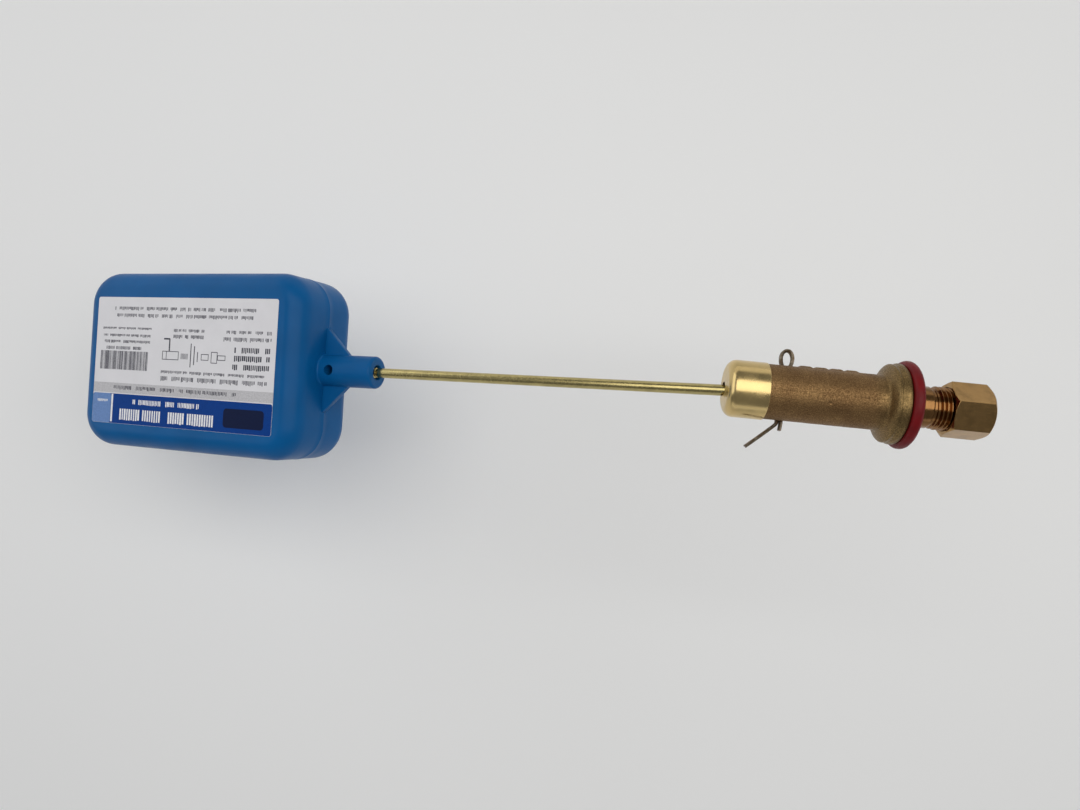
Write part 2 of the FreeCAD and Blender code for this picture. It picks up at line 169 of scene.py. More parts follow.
class FloatSizes(bpy.types.PropertyGroup):
    """Sizes of the float, its boss, rod and label"""

    droop: angle_setting("Droop", "Rod below level at the lower stop", 18.5)
    roll: angle_setting("Roll", "Turn of the float about its rod", 7)
    rod_radius: length_setting("Rod radius", "Drawn rod", 1.50 * MM)
    rod_offset: length_setting("Rod offset", "Rod axis above the pivot", 2.09 * MM)
    rod_grip: length_setting("Rod grip", "Inner end of the rod from the pivot", 2.60 * MM)
    rod_thread_radius: length_setting("Rod thread radius", "Crest of the rod's thread", 1.75 * MM)
    rod_thread_pitch: length_setting("Rod thread pitch", "Advance in one turn", INCH / 32)
    reach: length_setting("Reach", "From the pivot to the float's near wall", 138.5 * MM)
    length: length_setting("Float length", "Along the rod", 88.3 * MM)
    width: length_setting("Float width", "Across the rod", 58.7 * MM)
    thickness: length_setting("Float thickness", "From face to face", 29.5 * MM)
    corner: length_setting("Float corner", "Corner radius of the outline", 11.1 * MM)
    edge: length_setting("Float edge", "Radius around both faces", 6.1 * MM)
    wall: length_setting("Float wall", "Thickness of the moulded wall", 1.6 * MM)
    seam_height: length_setting("Seam height", "Height of the parting line's bead", 0.10 * MM)
    boss_radius: length_setting("Boss radius", "Outside of the rod's boss", 5.03 * MM)
    boss_length: length_setting("Boss length", "From the float's wall to the boss's mouth", 18.8 * MM)
    boss_mouth: length_setting("Boss mouth", "Radius of the bore at its mouth", 2.30 * MM)
    boss_hole: length_setting("Boss hole", "Radius of the small cross hole", 1.60 * MM)
    boss_hole_place: length_setting("Boss hole place", "Cross hole from the float's wall", 4.10 * MM)
    rib_reach: length_setting("Rib reach", "Length of the ribs along the boss", 9.0 * MM)
    rib_spread: length_setting("Rib spread", "Length of the ribs along the wall", 8.5 * MM)
    rib_thickness: length_setting("Rib thickness", "Thickness of the two ribs", 2.2 * MM)
    label_length: length_setting("Label length", "Along the rod", 73.8 * MM)
    label_width: length_setting("Label width", "Across the rod", 42.0 * MM)
    label_thickness: length_setting("Label thickness", "Sheet thickness", 0.12 * MM)
    label_shift_along: length_setting("Label shift along", "Label centre, away from the boss", 0.80 * MM)
    label_shift_across: length_setting("Label shift across", "Label centre, towards +Y", -0.55 * MM)
    band_width: length_setting("Band width", "Width of the label's blue band", 9.8 * MM)


class FloatValveColours(bpy.types.PropertyGroup):
    """Colours of the finishes"""

    cast_brass: colour_setting("Cast brass", "Sand-cast body", (0.220, 0.124, 0.054))
    cast_light: colour_setting("Cast highlight", "Raised grain of the casting", (0.395, 0.245, 0.105))
    rubbed_brass: colour_setting("Rubbed brass", "Flange, rubbed in the tumbler", (0.200, 0.132, 0.054))
    # The shank's brass is set darker than the nut's brass. This is painted shade: it stands for the shade
    # that falls on the neck and thread between the gasket and the nut.
    machined_brass: colour_setting("Machined brass", "Turned shank", (0.250, 0.125, 0.046))
    nut_brass: colour_setting("Nut brass", "Turned nut", (0.385, 0.230, 0.088))
    polished_brass: colour_setting("Polished brass", "Drawn cap", (0.690, 0.510, 0.225))
    rod_brass: colour_setting("Rod brass", "Drawn rod", (0.520, 0.430, 0.190))
    pin_steel: colour_setting("Pin steel", "Cotter pin", (0.180, 0.145, 0.105))
    pin_tarnish: colour_setting("Pin tarnish", "Brown stains on the pin", (0.150, 0.085, 0.040))
    gasket_red: colour_setting("Gasket red", "Rubber ring", (0.150, 0.004, 0.006))
    washer_black: colour_setting("Washer black", "Seat washer", (0.020, 0.020, 0.022))
    float_blue: colour_setting("Float blue", "Moulded float", (0.001, 0.096, 0.290))
    label_white: colour_setting("Label white", "Label stock", (0.740, 0.730, 0.760))
    band_blue: colour_setting("Band blue", "Printed band", (0.001, 0.043, 0.240))
    # The band's paler end is painted sheen: a reflection on the glossy film, painted into the colour rather
    # than printed.
    band_painted_sheen: colour_setting("Band end", "Paler end of the printed band", (0.150, 0.260, 0.520))
    block_navy: colour_setting("Block navy", "Dark block on the printed band", (0.004, 0.010, 0.045))
    ink: colour_setting("Ink", "Printed lines", (0.060, 0.060, 0.080))
    floor: colour_setting("Floor", "Studio floor", (0.960, 0.960, 0.960))


class StageSettings(bpy.types.PropertyGroup):
    """Camera, floor and lights"""

    camera_place: bpy.props.FloatVectorProperty(
        name="Camera place", description="Where the camera stands", size=3, subtype="TRANSLATION",
        default=(-86.56 * MM, -32.35 * MM, 199.53 * MM),
    )
    camera_aim: bpy.props.FloatVectorProperty(
        name="Camera aim", description="Point in the middle of the view", size=3, subtype="TRANSLATION",
        default=(-93.25 * MM, -9.31 * MM, 0.0),
    )
    camera_right: bpy.props.FloatVectorProperty(
        name="Camera right", description="Direction that lies level in the view", size=3,
        subtype="DIRECTION", default=(0.9944, 0.1033, -0.0214),
    )
    lens: bpy.props.FloatProperty(name="Lens", description="Focal length in millimetres", default=25.98)
    floor_drop: length_setting("Floor drop", "Floor below the object's lowest point", 45 * MM)
    floor_size: length_setting("Floor size", "Width of the square floor", 24.0)
    room_light: bpy.props.FloatProperty(name="Room light", description="Even light all round", default=0.20)
    ceiling_light: bpy.props.FloatProperty(
        name="Ceiling light", description="Brightness of the panel above", default=1.85,
    )


def settings():
    """The scene's settings, one group for each part of the model."""
    scene = bpy.context.scene
    return scene.valve_sizes, scene.float_sizes, scene.valve_colours


# ---------------------------------------------------------------- materials

class Finish:
    """A node material with a principled shader, built up by short calls."""

    def __init__(self, name, colour, roughness, metallic=0.0):
        self.material = bpy.data.materials.new(f"{name}_finish")
        self.material.use_nodes = True
        self.tree = self.material.node_tree
        self.shader = self.tree.nodes["Principled BSDF"]
        self.material.diffuse_color = (*colour, 1)
        self.set("Base Color", (*colour, 1))
        self.set("Roughness", roughness)
        self.set("Metallic", metallic)
        self.place = self.tree.nodes.new("ShaderNodeTexCoord").outputs["Object"]
        self.normal = None

    def set(self, socket, value):
        """Constant value on the shader's own socket."""
        self.shader.inputs[socket].default_value = value

    def node(self, kind, **values):
        """New node with its inputs set by name."""
        made = self.tree.nodes.new(kind)
        for key, value in values.items():
            made.inputs[key].default_value = value
        return made

    def link(self, source, target):
        """Links two sockets."""
        self.tree.links.new(source, target)

    def stretched(self, scale):
        """Object coordinates, scaled on each axis."""
        mapping = self.node("ShaderNodeMapping", Scale=scale)
        self.link(self.place, mapping.inputs["Vector"])
        return mapping.outputs["Vector"]

    def noise(self, scale, detail=4.0, roughness=0.55, stretch=None):
        """Noise value in metres of the object."""
        made = self.node("ShaderNodeTexNoise", Scale=scale, Detail=detail, Roughness=roughness)
        self.link(self.stretched(stretch) if stretch else self.place, made.inputs["Vector"])
        return made.outputs["Fac"]

    def cells(self, scale):
        """Distance to the nearest of scattered points."""
        made = self.node("ShaderNodeTexVoronoi", Scale=scale)
        self.link(self.place, made.inputs["Vector"])
        return made.outputs["Distance"]

    def beyond(self, start, end):
        """Zero below one place along X and one above the other, in metres."""
        parts = self.node("ShaderNodeSeparateXYZ")
        self.link(self.place, parts.inputs["Vector"])
        made = self.node("ShaderNodeMapRange", **{"From Min": start, "From Max": end})
        self.link(parts.outputs["X"], made.inputs["Value"])
        return made.outputs["Result"]

    def ramp(self, value, stops):
        """Colour ramp of (position, colour) stops; a plain number is a grey."""
        made = self.tree.nodes.new("ShaderNodeValToRGB")
        elements = made.color_ramp.elements
        while len(elements) < len(stops):
            elements.new(0.5)
        for element, (position, colour) in zip(elements, stops):
            element.position = position
            grey = isinstance(colour, (int, float))
            element.color = (colour, colour, colour, 1) if grey else (*colour, 1)
        self.link(value, made.inputs["Fac"])
        return made.outputs["Color"]

    def bump(self, height, strength, distance):
        """Adds a layer of bump over the earlier ones."""
        made = self.node("ShaderNodeBump", Strength=strength, Distance=distance)
        self.link(height, made.inputs["Height"])
        if self.normal:
            self.link(self.normal, made.inputs["Normal"])
        self.normal = made.outputs["Normal"]
        self.link(self.normal, self.shader.inputs["Normal"])

    def colour_from(self, colour):
        """Base colour from a socket."""
        self.link(colour, self.shader.inputs["Base Color"])

    def tinted(self, value, base, *stops):
        """Base colour from a value, as (position, times the base colour) stops."""
        self.colour_from(self.ramp(value, [(place, shade(base, factor)) for place, factor in stops]))

    def roughness_from(self, value, lowest, highest):
        """Roughness between two limits, from a value."""
        self.link(self.ramp(value, [(0.3, lowest), (0.7, highest)]), self.shader.inputs["Roughness"])

    def mixed(self, factor, first, second):
        """Two colours mixed by a value."""
        made = self.tree.nodes.new("ShaderNodeMix")
        made.data_type = "RGBA"
        factor_in, first_in, second_in = made.inputs[0], made.inputs[6], made.inputs[7]
        for socket, value in ((factor_in, factor), (first_in, first), (second_in, second)):
            if isinstance(value, bpy.types.NodeSocket):
                self.link(value, socket)
            elif socket is factor_in:
                socket.default_value = value
            else:
                socket.default_value = (*value, 1)
        return made.outputs[2]


def shade(colour, factor):
    """A colour, lighter or darker."""
    return tuple(min(1.0, part * factor) for part in colour)


def make_cast_brass(colours):
    """Tumbled sand casting: dark hollows, rubbed grain, faint blotches, a smoother flange."""
    dark, light, rubbed = colours.cast_brass, colours.cast_light, colours.rubbed_brass
    finish = Finish("cast_brass", dark, 0.45, 1.0)
    grain = finish.noise(3600, 4, 0.6)
    blotch = finish.noise(210, 4, 0.55)
    flange = finish.beyond(-11.0 * MM, -5.5 * MM)
    grain_colour = finish.ramp(grain, [(0.36, shade(dark, 0.50)), (0.50, dark), (0.68, light)])
    blotch_colour = finish.ramp(blotch, [(0.35, shade(dark, 0.80)), (0.65, shade(light, 0.80))])
    rubbed_stops = [(0.36, shade(rubbed, 0.65)), (0.50, rubbed), (0.68, shade(rubbed, 1.7))]
    rubbed_colour = finish.ramp(grain, rubbed_stops)
    barrel_colour = finish.mixed(0.4, grain_colour, blotch_colour)
    finish.colour_from(finish.mixed(flange, barrel_colour, rubbed_colour))
    barrel_roughness = finish.ramp(grain, [(0.38, 0.66), (0.62, 0.48)])
    flange_roughness = finish.ramp(grain, [(0.38, 0.46), (0.62, 0.30)])
    roughness = finish.mixed(flange, barrel_roughness, flange_roughness)
    finish.link(roughness, finish.shader.inputs["Roughness"])
    finish.bump(finish.noise(1700, 3, 0.6), 0.60, 0.00010)
    finish.bump(finish.cells(3000), 0.40, 0.00006)
    return finish.material


def make_machined_brass(name, base, turning=True):
    """Turned brass: fine rings around the axis and slight tarnish."""
    finish = Finish(name, base, 0.2, 1.0)
    tarnish = finish.noise(420, 4, 0.6)
    finish.tinted(tarnish, base, (0.3, 0.80), (0.5, 1), (0.72, 1.12))
    stretch = (1.0, 0.05, 0.05) if turning else (0.06, 1.0, 1.0)
    lines = finish.noise(9000, 2, 0.5, stretch)
    finish.roughness_from(lines, 0.12, 0.26)
    finish.bump(lines, 0.10, 0.00002)
    finish.bump(finish.noise(900, 3, 0.5), 0.05, 0.00005)
    return finish.material


def make_polished_brass(colours):
    """Drawn and buffed cap: soft reflections, faint draw marks and haze."""
    base = colours.polished_brass
    finish = Finish("polished_brass", base, 0.2, 1.0)
    haze = finish.noise(260, 4, 0.5)
    finish.tinted(haze, base, (0.3, 0.88), (0.55, 1), (0.75, 1.06))
    finish.roughness_from(haze, 0.19, 0.30)
    finish.bump(finish.noise(5200, 2, 0.5, (0.08, 1.0, 1.0)), 0.05, 0.00002)
    finish.bump(finish.noise(240, 1, 0.4), 0.05, 0.00010)
    return finish.material


def make_rod_brass(colours):
    """Drawn rod: long fine die lines and light tarnish."""
    base = colours.rod_brass
    finish = Finish("rod_brass", base, 0.22, 1.0)
    level = finish.node("ShaderNodeMapping", Rotation=(0, -bpy.context.scene.float_sizes.droop, 0))
    finish.link(finish.place, level.inputs["Vector"])
    along = finish.node("ShaderNodeMapping", Scale=(0.02, 1.0, 1.0))
    finish.link(level.outputs["Vector"], along.inputs["Vector"])
    lines = finish.node("ShaderNodeTexNoise", Scale=6500, Detail=2.0)
    finish.link(along.outputs["Vector"], lines.inputs["Vector"])
    tarnish = finish.noise(220, 4, 0.6)
    finish.tinted(tarnish, base, (0.3, 0.78), (0.55, 1), (0.75, 1.15))
    finish.roughness_from(lines.outputs["Fac"], 0.16, 0.30)
    finish.bump(lines.outputs["Fac"], 0.14, 0.00003)
    return finish.material


def make_pin_steel(colours):
    """Dull drawn steel with brown tarnish."""
    base = colours.pin_steel
    finish = Finish("pin_steel", base, 0.42, 1.0)
    tarnish = finish.noise(900, 5, 0.65)
    stops = [(0.36, colours.pin_tarnish), (0.50, base), (0.70, shade(base, 2.1))]
    finish.colour_from(finish.ramp(tarnish, stops))
    finish.roughness_from(tarnish, 0.55, 0.30)
    finish.bump(finish.noise(4200, 3, 0.6), 0.2, 0.00004)
    return finish.material


def make_rubber(name, base, roughness):
    """Moulded rubber: satin skin with fine specks."""
    finish = Finish(name, base, roughness)
    finish.set("Specular IOR Level", 0.2)
    specks = finish.noise(2400, 4, 0.6)
    cloud = finish.noise(240, 3, 0.5)
    finish.tinted(cloud, base, (0.3, 0.78), (0.7, 1.25))
    finish.roughness_from(specks, roughness - 0.08, roughness + 0.10)
    finish.bump(specks, 0.14, 0.00005)
    return finish.material


def make_blue_plastic(colours):
    """Moulded polyethylene: waxy sheen, slow waviness and fine texture."""
    base = colours.float_blue
    finish = Finish("blue_plastic", base, 0.36)
    finish.set("Specular IOR Level", 0.15)
    finish.set("Subsurface Weight", 0.04)
    finish.set("Subsurface Radius", (0.002, 0.004, 0.010))
    cloud = finish.noise(60, 3, 0.5)
    finish.tinted(cloud, base, (0.3, 0.92), (0.7, 1.10))
    skin = finish.noise(2800, 3, 0.55)
    finish.roughness_from(finish.noise(140, 4, 0.6), 0.31, 0.43)
    finish.bump(finish.noise(95, 2, 0.4), 0.16, 0.0009)
    finish.bump(skin, 0.10, 0.00005)
    return finish.material


def make_label_stock(colours):
    """Printed film: slight cloudiness and a semi-gloss skin."""
    base = colours.label_white
    finish = Finish("label_stock", base, 0.34)
    cloud = finish.noise(120, 3, 0.5)
    finish.tinted(cloud, base, (0.3, 0.96), (0.7, 1.03))
    finish.roughness_from(cloud, 0.30, 0.42)
    finish.bump(finish.noise(160, 2, 0.5), 0.10, 0.0004)
    return finish.material


def make_ink(name, base):
    """Printed ink: slightly uneven, with little gloss."""
    finish = Finish(name, base, 0.34)
    finish.set("Specular IOR Level", 0.07)
    spread = finish.noise(3000, 3, 0.6)
    finish.tinted(spread, base, (0.3, 0.85), (0.7, 1.2))
    finish.roughness_from(spread, 0.30, 0.40)
    return finish.material


def material(name):
    """A finish by name, made once."""
    made = bpy.data.materials.get(f"{name}_finish")
    if made:
        return made
    colours = bpy.context.scene.valve_colours
    makers = {
        "cast_brass": (make_cast_brass, colours),
        "machined_brass": (make_machined_brass, "machined_brass", colours.machined_brass),
        "nut_brass": (make_machined_brass, "nut_brass", colours.nut_brass, False),
        "polished_brass": (make_polished_brass, colours),
        "rod_brass": (make_rod_brass, colours),
        "pin_steel": (make_pin_steel, colours),
        "red_rubber": (make_rubber, "red_rubber", colours.gasket_red, 0.42),
        "black_rubber": (make_rubber, "black_rubber", colours.washer_black, 0.6),
        "blue_plastic": (make_blue_plastic, colours),
        "label_stock": (make_label_stock, colours),
        "band_ink": (make_ink, "band_ink", colours.band_blue),
        "dark_ink": (make_ink, "dark_ink", colours.ink),
        "grey_ink": (make_ink, "grey_ink", shade(colours.label_white, 0.72)),
        "navy_ink": (make_ink, "navy_ink", colours.block_navy),
        # Paler blue for the band's end: painted sheen, a reflection put into the ink's colour.
        "pale_blue_ink": (make_ink, "pale_blue_ink", colours.band_painted_sheen),
        "white_ink": (make_ink, "white_ink", shade(colours.label_white, 1.15)),
    }
    maker, *details = makers[name]
    return maker(*details)


# ---------------------------------------------------------------- mesh tools

def linked(name, data):
    """New object of some data, in the scene."""
    made = bpy.data.objects.new(name, data)
    bpy.context.scene.collection.objects.link(made)
    return made


def mesh_object(name, vertices, faces):
    """New object from lists of points and faces."""
    mesh = bpy.data.meshes.new(name)
    mesh.from_pydata([tuple(point) for point in vertices], [], [tuple(face) for face in faces])
    mesh.validate()
    return linked(name, mesh)


def work_object(name, work):
    """New object from a working mesh, which is freed."""
    mesh = bpy.data.meshes.new(name)
    work.to_mesh(mesh)
    work.free()
    return linked(name, mesh)


def place_piece(piece, finish, body, slot, *nodes, sharp=35):
    """Gives a finished piece its material and body, and hides the CAD nodes it stands for. The slot is not
    used.
    """
    mesh = piece.data
    mesh.materials.clear()
    mesh.materials.append(material(finish))
    mesh.polygons.foreach_set("use_smooth", [True] * len(mesh.polygons))
    mesh.set_sharp_from_angle(angle=math.radians(sharp))
    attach(piece, body)
    if nodes:
        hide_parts(*nodes)


def rounded(points, steps=4):
    """Closed outline with its corners turned into arcs. A point is (x, r) or (x, r, corner radius)."""
    out = []
    count = len(points)
    for index, point in enumerate(points):
        here = Vector(point[:2])
        if len(point) < 3 or point[2] == 0:
            out.append(tuple(here))
            continue
        before = Vector(points[index - 1][:2]) - here
        after = Vector(points[(index + 1) % count][:2]) - here
        turn = math.pi - before.angle(after)
        radius = point[2]
        trim = radius * math.tan(turn / 2)
        limit = 0.49 * min(before.length, after.length)
        if trim > limit:
            radius *= limit / trim
            trim = limit
        start = here + before.normalized() * trim
        end = here + after.normalized() * trim
        inwards = (before.normalized() + after.normalized()).normalized()
        centre = here + inwards * (radius / math.cos(turn / 2))
        first = start - centre
        last = end - centre
        for step in range(steps + 1):
            share = step / steps
            arm = (first * (1 - share) + last * share).normalized() * radius
            out.append(tuple(centre + arm))
    return out


def refined(outline, longest):
    """Closed outline with extra points, so that no run is longer than a limit."""
    out = []
    for index, start in enumerate(outline):
        end = outline[(index + 1) % len(outline)]
        span = math.dist(start, end)
        limit = longest(start, end) if callable(longest) else longest
        pieces = max(1, math.ceil(span / limit))
        for step in range(pieces):
            share = step / pieces
            out.append((start[0] + (end[0] - start[0]) * share, start[1] + (end[1] - start[1]) * share))
    return out


def turned(name, outline, segments, swell=None):
    """Ring of revolution about X from a closed outline of (x, r). swell(x, r, angle) adds to r."""
    points, rings = [], []
    for x, radius in outline:
        start = len(points)
        if radius == 0:
            points.append((x, 0, 0))
            rings.append([start] * segments)
            continue
        for step in range(segments):
            angle = 2 * math.pi * step / segments
            r = radius + (swell(x, radius, angle) if swell else 0)
            points.append((x, r * math.cos(angle), r * math.sin(angle)))
        rings.append(list(range(start, start + segments)))
    faces = []
    for row, ring in enumerate(rings):
        after = rings[(row + 1) % len(rings)]
        for step in range(segments):
            side = (step + 1) % segments
            corners = list(dict.fromkeys((ring[step], ring[side], after[side], after[step])))
            if len(corners) > 2:
                faces.append(corners)
    made = mesh_object(name, points, faces)
    point_outwards(made)
    return made


def point_outwards(piece):
    """Merges doubles and turns every face outwards."""
    work = bmesh.new()
    work.from_mesh(piece.data)
    bmesh.ops.remove_doubles(work, verts=work.verts, dist=1e-7)
    unused = [vertex for vertex in work.verts if not vertex.link_faces]
    bmesh.ops.delete(work, geom=unused, context="VERTS")
    bmesh.ops.recalc_face_normals(work, faces=work.faces)
    if work.calc_volume(signed=True) < 0:
        bmesh.ops.reverse_faces(work, faces=work.faces)
    work.to_mesh(piece.data)
    work.free()


def combined(piece, other, operation):
    """Boolean of two closed pieces; the second one is used up."""
    modifier = piece.modifiers.new("cut", "BOOLEAN")
    modifier.operation = operation
    modifier.solver = "EXACT"
    modifier.object = other
    baked(piece)
    bpy.data.objects.remove(other)


def baked(piece):
    """Applies all modifiers of a piece."""
    graph = bpy.context.evaluated_depsgraph_get()
    mesh = bpy.data.meshes.new_from_object(piece.evaluated_get(graph))
    old = piece.data
    piece.modifiers.clear()
    piece.data = mesh
    mesh.name = piece.name
    bpy.data.meshes.remove(old)
    return piece


def arc(first, last, steps):
    """Cosine and sine of evenly spaced angles, with both ends."""
    angles = [first + (last - first) * step / steps for step in range(steps + 1)]
    return [(math.cos(angle), math.sin(angle)) for angle in angles]


def cylinder(name, radius, start, end):
    """Closed cylinder between two points."""
    start, end = Vector(start), Vector(end)
    axis = end - start
    work = bmesh.new()
    bmesh.ops.create_cone(
        work, cap_ends=True, segments=48, radius1=radius, radius2=radius, depth=axis.length,
    )
    turn = Z_AXIS.rotation_difference(axis).to_matrix().to_4x4()
    bmesh.ops.transform(work, matrix=Matrix.Translation((start + end) / 2) @ turn, verts=work.verts)
    return work_object(name, work)


def block(name, low_corner, high_corner):
    """Closed box between two corners."""
    work = bmesh.new()
    bmesh.ops.create_cube(work, size=1)
    size = Vector(high_corner) - Vector(low_corner)
    middle = (Vector(high_corner) + Vector(low_corner)) / 2
    bmesh.ops.scale(work, vec=size, verts=work.verts)
    bmesh.ops.translate(work, vec=middle, verts=work.verts)
    return work_object(name, work)


def eased_edges(piece, width, segments, least_angle=30):
    """Bevels every edge of a piece that is sharper than an angle."""
    modifier = piece.modifiers.new("edges", "BEVEL")
    modifier.width = width
    modifier.segments = segments
    modifier.limit_method = "ANGLE"
    modifier.angle_limit = math.radians(least_angle)
    baked(piece)


def prism(name, corners, along, rounding=0.0):
    """Closed solid from a flat loop of corners, pushed along a vector."""
    count = len(corners)
    points = [Vector(point) for point in corners] + [Vector(point) + Vector(along) for point in corners]
    faces = [tuple(range(count)), tuple(reversed(range(count, 2 * count)))]
    for index in range(count):
        after = (index + 1) % count
        faces.append((index, after, count + after, count + index))
    made = mesh_object(name, points, faces)
    point_outwards(made)
    if rounding:
        eased_edges(made, rounding, 3)
    return made


def tube_faces(rows, size):
    """Faces of a closed tube made of rings of one size, with its two ends."""
    faces = [tuple(reversed(range(size))), tuple(range((rows - 1) * size, rows * size))]
    for start in range(0, (rows - 1) * size, size):
        for step in range(size):
            side = (step + 1) % size
            faces.append((start + step, start + side, start + size + side, start + size + step))
    return faces


def swept(name, path, section, flat_normal):
    """Closed tube of a section along an open path. flat_normal is square to the path's plane."""
    rings = []
    count = len(path)
    for index, point in enumerate(path):
        before = path[max(0, index - 1)]
        after = path[min(count - 1, index + 1)]
        heading = (after - before).normalized()
        side = flat_normal.cross(heading).normalized()
        rings.append([point + side * u + flat_normal * v for u, v in section])
    points = [point for ring in rings for point in ring]
    made = mesh_object(name, points, tube_faces(count, len(section)))
    point_outwards(made)
    return made


# ---------------------------------------------------------------- geometry nodes

def new_tree(name, inputs):
    """Geometry Nodes tree with named inputs, each (name, socket type, default)."""
    tree = bpy.data.node_groups.new(name, "GeometryNodeTree")
    tree.interface.new_socket("Geometry", in_out="OUTPUT", socket_type="NodeSocketGeometry")
    for label, kind, default in inputs:
        socket = tree.interface.new_socket(label, in_out="INPUT", socket_type=kind)
        if default is not None:
            socket.default_value = default
    return tree


def add_node(tree, kind, values=None, **properties):
    """New node with its properties set, and its inputs set or linked by name or number."""
    made = tree.nodes.new(kind)
    for key, value in properties.items():
        setattr(made, key, value)
    for key, value in (values or {}).items():
        socket = made.inputs[key]
        if isinstance(value, bpy.types.NodeSocket):
            tree.links.new(value, socket)
        else:
            socket.default_value = value
    return made


def grown(name, tree, values):
    """Object made by a Geometry Nodes tree, baked to a plain mesh."""
    made = linked(name, bpy.data.meshes.new(name))
    modifier = made.modifiers.new("nodes", "NODES")
    modifier.node_group = tree
    inputs = [item for item in tree.interface.items_tree if item.in_out == "INPUT"]
    sockets = {item.name: item.identifier for item in inputs}
    for label, value in values.items():
        modifier[sockets[label]] = value
    bpy.context.view_layer.update()
    return baked(made)


def end_tree(tree, geometry, finish):
    """Ends a tree in Realize Instances and Set Material."""
    real = add_node(tree, "GeometryNodeRealizeInstances", {"Geometry": geometry})
    coat = add_node(tree, "GeometryNodeSetMaterial", {"Geometry": real.outputs[0], "Material": finish})
    out = tree.nodes.new("NodeGroupOutput")
    tree.links.new(coat.outputs[0], out.inputs[0])


def arithmetic(tree):
    """Short way to add maths nodes to a tree."""

    def maths(operation, first, second):
        return add_node(tree, "ShaderNodeMath", {0: first, 1: second}, operation=operation).outputs[0]

    return maths


def thread_tree(finish):
    """Right-hand thread along X: a helical ridge that fades in and out, on a round core."""
    tree = new_tree("Thread", [
        ("Start", "NodeSocketFloat", 0.0),
        ("Length", "NodeSocketFloat", 0.01),
        ("Pitch", "NodeSocketFloat", 0.001),
        ("Root Radius", "NodeSocketFloat", 0.005),
        ("Crest Radius", "NodeSocketFloat", 0.0055),
        ("Steps", "NodeSocketInt", 72),
    ])
    given = tree.nodes.new("NodeGroupInput").outputs
    maths = arithmetic(tree)
    turns = maths("DIVIDE", given["Length"], given["Pitch"])
    spiral = add_node(tree, "GeometryNodeCurveSpiral", {
        "Resolution": given["Steps"], "Rotations": turns, "Start Radius": given["Root Radius"],
        "End Radius": given["Root Radius"], "Height": given["Length"], "Reverse": True,
    })
    level = add_node(tree, "GeometryNodeSetCurveNormal", {"Curve": spiral.outputs[0]}, mode="Z_UP")
    share = add_node(tree, "GeometryNodeSplineParameter").outputs["Factor"]
    fade = maths("DIVIDE", 1.1, turns)
    rise = add_node(tree, "ShaderNodeMapRange", {"Value": share, "From Max": fade, "To Min": 0.05})
    fall_start = maths("SUBTRACT", 1.0, fade)
    fall = add_node(tree, "ShaderNodeMapRange", {
        "Value": share, "From Min": fall_start, "From Max": 1.0, "To Min": 1.0, "To Max": 0.05,
    })
    swell = maths("MULTIPLY", rise.outputs[0], fall.outputs[0])
    faded = add_node(tree, "GeometryNodeSetCurveRadius", {"Curve": level.outputs[0], "Radius": swell})
    depth = maths("SUBTRACT", given["Crest Radius"], given["Root Radius"])
    profile = add_node(tree, "GeometryNodeCurvePrimitiveQuadrilateral", {
        "Bottom Width": maths("MULTIPLY", given["Pitch"], 0.92),
        "Top Width": maths("MULTIPLY", given["Pitch"], 0.16),
        "Height": depth,
        "Offset": 0.0,
    }, mode="TRAPEZOID")
    lift = add_node(tree, "ShaderNodeCombineXYZ", {"Y": maths("MULTIPLY", depth, 0.5)})
    raised = add_node(tree, "GeometryNodeTransform", {
        "Geometry": profile.outputs[0], "Translation": lift.outputs[0],
    })
    quarter = add_node(tree, "GeometryNodeTransform", {
        "Geometry": raised.outputs[0], "Rotation": (0.0, 0.0, math.radians(-90)),
    })
    ridge = add_node(tree, "GeometryNodeCurveToMesh", {
        "Curve": faded.outputs[0], "Profile Curve": quarter.outputs[0], "Fill Caps": True, "Scale": swell,
    })
    tipped = add_node(tree, "GeometryNodeTransform", {
        "Geometry": ridge.outputs[0], "Rotation": (0.0, math.radians(90), 0.0),
    })
    shift = add_node(tree, "ShaderNodeCombineXYZ", {"X": given["Start"]})
    moved = add_node(tree, "GeometryNodeTransform", {
        "Geometry": tipped.outputs[0], "Translation": shift.outputs[0],
    })
    end_tree(tree, moved.outputs[0], finish)
    return tree


